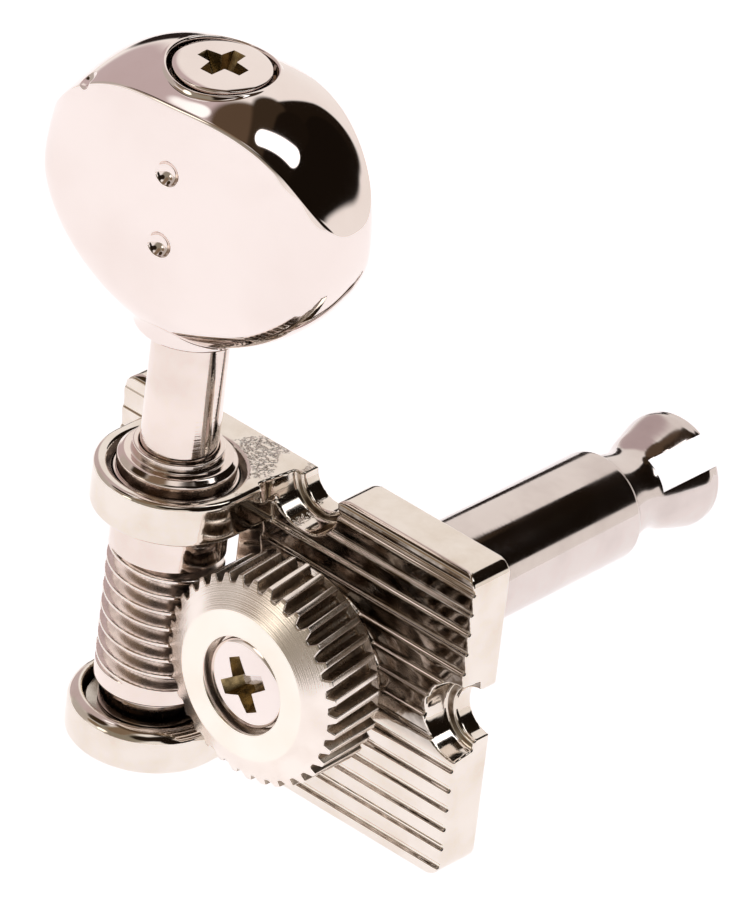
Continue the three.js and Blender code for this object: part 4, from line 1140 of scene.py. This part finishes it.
@dataclass(frozen=True)
class WormGear:
    """The wheel with 36 slanted teeth, its coned front, recess, flange and hub.

    `half_widths` gives half a tooth's width at radii from the root to the tip; `slant` is the
    teeth's twist, as millimetres round the pitch circle to a millimetre along the axis.
    """

    teeth: int = 36
    pitch_radius: float = 5.758
    tip: float = 6.098
    root: float = 5.318
    half_widths: tuple[Corner, ...] = (
        (5.318, 0.32), (5.52, 0.29), (5.758, 0.243), (6.0, 0.185), (6.098, 0.16))
    throat_radius: float = 9.0
    mesh_y: float = -5.8
    turn: float = 95.2
    slant: float = 0.11185
    front: float = -8.75
    teeth_front: float = -7.87
    teeth_back: float = -4.45
    face_radius: float = 4.28
    cone_from: float = 4.78
    bore: float = 1.2
    recess_radius: float = 2.8
    recess_floor: float = -7.65
    edge: float = 0.05

    def half_angle(self, radius: float) -> float:
        """Returns half the angle that a tooth fills at a radius."""
        for (low, wide), (high, narrow) in zip(self.half_widths, self.half_widths[1:]):
            if radius <= high:
                share = (radius - low) / (high - low)
                return (wide + (narrow - wide) * share) / radius
        return self.half_widths[-1][1] / radius

    def outline(self) -> list[Corner]:
        """Returns the toothed outline as (radius, angle), with small rounds at tip and root."""
        step = 2 * math.pi / self.teeth
        root = self.half_angle(self.root)
        rising = [(self.root, root + 0.010), (self.root + 0.02, root + 0.003)]
        rising += [(r, self.half_angle(r)) for r in (5.38, 5.5, 5.62, self.pitch_radius, 5.88, 6.0, 6.055)]
        rising += [(6.087, self.half_angle(6.087) - 0.003), (self.tip, self.half_angle(self.tip) - 0.009),
                   (self.tip, 0.0)]
        points = []
        for tooth in range(self.teeth):
            middle = math.radians(self.turn) + tooth * step
            points.append((self.root, middle - step / 2))
            points += [(r, middle - a) for r, a in rising]
            points += [(r, middle + a) for r, a in rising[-2::-1]]
        return points

    def cone(self, radius: float) -> float:
        """Returns the place of the coned front at a radius."""
        share = (radius - self.face_radius) / (self.tip - self.face_radius)
        return self.front + (self.teeth_front - self.front) * share

    def shallowed(self, place: Vector, y: float) -> Vector:
        """Lifts a tooth gap's floor away from the middle, as a round cutter leaves it.

        Args:
            place: a point of the outline, in (x, z).
            y: its place along the post.

        Returns:
            The point, moved outwards where it lies below the tip.
        """
        lift = (y - self.mesh_y) ** 2 / (2 * self.throat_radius) / (self.tip - self.root)
        return place.normalized() * (self.tip - (self.tip - place.length) * (1 - lift))

    def twisted(self, place: Vector, y: float) -> Point:
        """Returns an outline's point at its place along the post, turned as the teeth slant."""
        extra = (y - self.teeth_front) * self.slant / self.pitch_radius
        c, s = math.cos(extra), math.sin(extra)
        return (c * place.x - s * place.y, y, s * place.x + c * place.y)

    def rings(self) -> list[list[Point]]:
        """Returns the body's rings of points, from the recess's floor over the teeth to the back."""
        ways = [Vector((math.cos(a), math.sin(a))) for _, a in self.outline()]
        flat = [way * r for way, (r, _) in zip(ways, self.outline())]
        inset = []
        for k, here in enumerate(flat):
            along = flat[(k + 1) % len(flat)] - flat[k - 1]
            inset.append(here - Vector((along.y, -along.x)).normalized() * self.edge)
        front_inset = [self.shallowed(p, self.cone(p.length)) for p in inset]
        front = [self.shallowed(q, self.cone(q.length)) for q in flat]

        def circle(radius: float, y: float) -> list[Point]:
            return [(radius * way.x, y, radius * way.y) for way in ways]

        def on_cone(places: list[Vector], behind: float = 0.0) -> list[Point]:
            return [self.twisted(place, self.cone(place.length) + behind) for place in places]

        face = [(self.bore, self.recess_floor), (self.recess_radius, self.recess_floor),
                (self.recess_radius, self.front), (self.face_radius, self.front),
                (self.cone_from, self.cone(self.cone_from))]
        rings = [circle(radius, y) for radius, y in eased(face, 0.1)]
        for share in (0.5, 0.85):
            start = [way * self.cone_from for way in ways]
            rings.append(on_cone([p.lerp(q, share) for p, q in zip(start, front_inset)]))
        rings.append(on_cone(front_inset))
        rings.append([self.twisted(p.lerp(q, 0.7), self.cone(q.length) + 0.3 * self.edge)
                      for p, q in zip(front_inset, front)])
        rings += [on_cone(front, behind) for behind in (self.edge, 1.6 * self.edge)]
        for share in (0.2, 0.4, 0.6, 0.8, 0.97):
            rings.append([])
            for here, ahead in zip(flat, front):
                y = self.cone(ahead.length)
                y += (self.teeth_back - self.edge - y) * share
                rings[-1].append(self.twisted(self.shallowed(here, y), y))
        for blend, behind in ((0.0, self.edge), (0.3, 0.3 * self.edge), (1.0, 0.0)):
            rings.append([self.twisted(self.shallowed(q.lerp(p, blend), self.teeth_back),
                                       self.teeth_back - behind) for p, q in zip(inset, flat)])
        return rings + [circle(radius, self.teeth_back) for radius in (5.1, self.bore)]

    def build(self) -> None:
        """Builds the toothed body with the flange and hub behind it, and hands it over."""
        rings = self.rings()
        points = [point for ring in rings for point in ring]
        faces = skin(rows_of(len(rings), len(rings[0])), loop=True)
        flange = self.teeth_back - 0.1
        back = [(1.9, flange), (5.6, flange), (5.6, -3.95), (4.0, -3.95), (4.0, -3.4), (1.9, -3.4)]
        more, ring_faces = turned_mesh(eased(back, 0.08, loop=True), Axis.Y, 160, loop=True)
        faces += [tuple(k + len(points) for k in face) for face in ring_faces]
        gear = make_object("worm_gear_cut", points + more, faces)
        smooth(gear, 50.0)
        dress(gear, CUT_NICKEL)
        dress_where(gear, FACED_NICKEL, self.on_face)
        # The gaps between the teeth get painted shade.
        dress_where(gear, TOOTH_GAP_SHADE, self.in_gap)
        set_down(gear, "post", "worm_gear")

    def on_face(self, place: Vector) -> bool:
        """Tells whether a place lies on the flat front."""
        return place.y < self.front + 0.06 and math.hypot(place.x, place.z) < self.face_radius + 0.03

    def in_gap(self, place: Vector) -> bool:
        """Tells whether a place lies in a gap between two teeth."""
        radius = math.hypot(place.x, place.z)
        return (5.0 < radius < self.tip - 0.05
                and self.cone(radius) + 0.04 < place.y < self.teeth_back - 0.03)


@dataclass(frozen=True)
class StringPost:
    """The string post: a plain shaft, a waist, and a flared tip with a slot for the string."""

    radius: float = 3.175
    shoulder: float = 20.15
    shoulder_round: float = 0.45
    tip: float = 26.55
    tip_round: float = 0.5
    slot_width: float = 1.95
    slot_depth: float = 3.8
    slot_turn: float = 45.0
    hole_radius: float = 0.95
    hole_floor: float = 15.55
    waist_corners: tuple[Corner, ...] = (
        (2.75, 20.15), (2.33, 22.35), (2.79, 23.9), (3.25, 25.45), (3.25, 26.05))

    def waist(self) -> Profile:
        """Returns the smooth curve from the shoulder through the waist to the flare."""
        corners = [Vector(c) for c in self.waist_corners]
        padded = [corners[0] * 2 - corners[1], *corners, corners[-1] * 2 - corners[-2]]
        curve: Profile = []
        for p, q, r, s in zip(padded, padded[1:], padded[2:], padded[3:]):
            for t in (k / 10 for k in range(10)):
                place = 0.5 * (2 * q + (r - p) * t + (2 * p - 5 * q + 4 * r - s) * t ** 2
                               + (3 * q - p - 3 * r + s) * t ** 3)
                curve.append(tuple(place))
        return curve + [tuple(corners[-1])]

    def build(self) -> None:
        """Turns the post, cuts the slot and the string hole, and hands it over."""
        shaft = [(0.0, -7.55), (1.9, -7.55), (1.9, -3.5), (2.5, -3.5), (2.5, -0.15), (self.radius, -0.15)]
        shoulder = arc((self.radius - self.shoulder_round, self.shoulder - self.shoulder_round),
                       self.shoulder_round, 0, 90, 8)
        flare, _ = self.waist_corners[-1]
        end = arc((flare - self.tip_round, self.tip - self.tip_round), self.tip_round, 0, 90, 8)[1:]
        profile = eased(shaft, 0.08) + shoulder + self.waist() + end + [(1.5, self.tip), (0.0, self.tip)]
        post = turned("string_post_turned", profile, Axis.Y, scale=1.0)
        half = self.slot_width / 2
        slot = prism("slot", [(-5, -half), (5, -half), (5, half), (-5, half)],
                     self.tip - self.slot_depth, self.tip + 1, Axis.Y)
        slot.data.transform(Matrix.Rotation(math.radians(-self.slot_turn), 4, "Y"))
        hole = [(0, self.hole_floor), (self.hole_radius, self.hole_floor), (self.hole_radius, 28), (0, 28)]
        join(post, slot, Join.CUT)
        join(post, turned("hole", hole, Axis.Y, 96, scale=1.0), Join.CUT)
        ease_edges(post, 0.09, 3, 40)
        resized(post)
        smooth(post, 40.0)
        dress(post, TURNED_NICKEL_POST)
        set_down(post, "post", "string_post")


def direction(azimuth: float, elevation: float) -> Vector:
    """Returns the way to an azimuth, from +X towards +Y, and an elevation, in degrees."""
    az, el = math.radians(azimuth), math.radians(elevation)
    return Vector((math.cos(az) * math.cos(el), math.sin(az) * math.cos(el), math.sin(el)))


@dataclass(frozen=True)
class Patch:
    """A soft patch of the tent, seen in a direction: round, or drawn out towards a second direction.

    Attributes:
        azimuth: degrees from +X towards +Y.
        elevation: degrees over the horizon.
        inner: degrees from its middle over which it is full.
        outer: degrees from its middle at which it has faded out.
        colour: sRGB hex.
        strength: the light that it gives.
        until: azimuth and elevation of its other end, or None where it is round.
    """

    azimuth: float
    elevation: float
    inner: float
    outer: float
    colour: str
    strength: float = 1.0
    until: Corner | None = None

    def nearest(self, tree: NodeTree, way: NodeSocket) -> NodeSocket | Vector:
        """Returns the point of the patch's middle line that is nearest to a direction.

        Args:
            tree: the world's nodes.
            way: the socket with the direction.

        Returns:
            The socket with that point, or the point itself where the patch is round.
        """
        start = direction(self.azimuth, self.elevation)
        if self.until is None:
            return start
        line = direction(*self.until) - start
        off = vectors(tree, "SUBTRACT", way, start)
        along = vectors(tree, "DOT_PRODUCT", off, line / line.length_squared)
        step = add_node(tree, "VectorMath", {"operation": "SCALE"}, {
            0: line, "Scale": ramp(tree, along, 0.0, 1.0)})
        return vectors(tree, "NORMALIZE", vectors(tree, "ADD", step.outputs["Vector"], start))


@dataclass(frozen=True)
class Studio:
    """A white tent with its lamps, a dark room seen through its open side, a pale floor and the camera."""

    patches: tuple[Patch, ...] = (
        Patch(165, 14, 16, 25, "CBB9BA", until=(-173, 54)),
        Patch(-155, 12, 15, 30, "C1B8B1"),
        Patch(-85, 22, 28, 42, "968E80"),
        Patch(-126, 18, 7, 13, "8A7660"),
        Patch(-137, 44, 11, 17, "3A2C1E"),
        Patch(-95, 38, 9, 16, "86725E", until=(-95, 80)),
        Patch(-110, 8, 5, 9, "FFF6E8", 2.0),
        Patch(0, 90, 18, 23, "5C4A3A"),
        Patch(136, -2, 7, 11, "2A2220"),
        Patch(-22, 38, 16, 24, "1E160F"),
        Patch(-51, 34, 13, 21, "261D15"),
        Patch(2, 18, 28, 32, "1A130D"),
        Patch(74, 23, 17, 19, "1E160F", until=(62, 57)),
        Patch(88, 64, 10, 14, "3A2E22", until=(0, 66)),
        Patch(25, 34, 16, 18, "16100B", until=(64, 22)),
        Patch(20, 52, 12, 15, "1A130D", until=(58, 50)),
        Patch(25, 72, 5.0, 6.2, "FFFFFF", 2.2, until=(36, 44)),
        Patch(-166, 65, 3, 5, "FFFFFF", 1.3),
    )
    floor_height: float = -45.0
    floor_reach: float = 320.0
    floor_glow: float = 0.78
    azimuth: float = 38.825
    elevation: float = 32.027
    roll: float = 7.102
    distance: float = 724.53
    focal_pixels: float = 13514.0
    shift_right: float = 1.251
    shift_up: float = 9.637

    def build(self) -> None:
        """Builds all of the studio."""
        self.build_world()
        self.build_floor()
        self.build_camera()
        bpy.context.scene.view_settings.view_transform = "Standard"

    def build_world(self) -> None:
        """Builds the tent as the world's light, and keeps what the camera sees of it pale."""
        world = bpy.data.worlds.new("tent")
        bpy.context.scene.world = world
        world.use_nodes = True
        tree = world.node_tree
        tree.nodes.clear()
        way = place_of(tree, "Generated")
        colour = linear("FFF9F5")
        for patch in self.patches:
            dot = vectors(tree, "DOT_PRODUCT", way, patch.nearest(tree, way))
            faded, full = (math.cos(math.radians(angle)) for angle in (patch.outer, patch.inner))
            light = tuple(v * patch.strength for v in linear(patch.colour)[:3]) + (1.0,)
            colour = mixed(tree, ramp(tree, dot, faded, full, soft=True), colour, light)
        path = add_node(tree, "LightPath").outputs["Is Camera Ray"]
        back = add_node(tree, "Background", inputs={
            "Color": mixed(tree, path, colour, linear("FFFFFF")), "Strength": 1.0})
        add_node(tree, "OutputWorld", inputs={"Surface": back.outputs["Background"]})

    def build_floor(self) -> None:
        """Lays the plain pale floor, which glows a little so that it stays white under the object."""
        reach, height = self.floor_reach, self.floor_height
        corners = [(-reach, -reach, height), (reach, -reach, height), (reach, reach, height),
                   (-reach, reach, height)]
        floor = make_object("studio_floor", corners, [(0, 1, 2, 3)])
        material = bpy.data.materials.new("studio paper")
        material.use_nodes = True
        shader = material.node_tree.nodes["Principled BSDF"]
        for name, value in (("Base Color", linear("F8F8FB")), ("Roughness", 0.9),
                            ("Emission Color", linear("FDFCFF")), ("Emission Strength", self.floor_glow)):
            shader.inputs[name].default_value = value
        floor.data.materials.append(material)

    def build_camera(self) -> None:
        """Sets the camera at the photograph's viewing angle."""
        az, el, roll = (math.radians(v) for v in (self.azimuth, self.elevation, self.roll))
        ahead = Vector((-math.sin(az), math.cos(az), 0)) * math.cos(el) + Vector((0, 0, -math.sin(el)))
        right = Vector((math.cos(az), math.sin(az), 0))
        up = right.cross(ahead)
        across = right * math.cos(roll) + up * math.sin(roll)
        over = up * math.cos(roll) - right * math.sin(roll)
        eye = -ahead * self.distance + across * self.shift_right + over * self.shift_up
        data = bpy.data.cameras.new("camera")
        data.sensor_fit = "VERTICAL"
        data.sensor_height = 36.0
        data.lens = self.focal_pixels * data.sensor_height / PHOTO_HEIGHT
        data.clip_start = 0.01
        data.clip_end = 10.0
        camera = bpy.data.objects.new("camera", data)
        bpy.context.scene.collection.objects.link(camera)
        turn = Matrix((across, over, -ahead)).transposed().to_4x4()
        camera.matrix_world = Matrix.Translation(eye * MM) @ turn
        bpy.context.scene.camera = camera


def main() -> None:
    """Builds every piece in order, dresses the CAD nodes that stay, and sets up the studio."""
    logging.basicConfig(level=logging.INFO, format="%(message)s")
    for piece in (BaseCasting(), BearingBush(), WormShaft(), Button(), WormGear()):
        piece.build()
    set_down(GEAR_SCREW.build(), "post", "gear_screw")
    StringPost().build()
    for node in ("worm_thrust_washer", "gear_washer"):
        dress_node(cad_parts[node], WASHER_STEEL)
    Studio().build()
    bpy.context.view_layer.update()


if __name__ == "__main__":
    main()
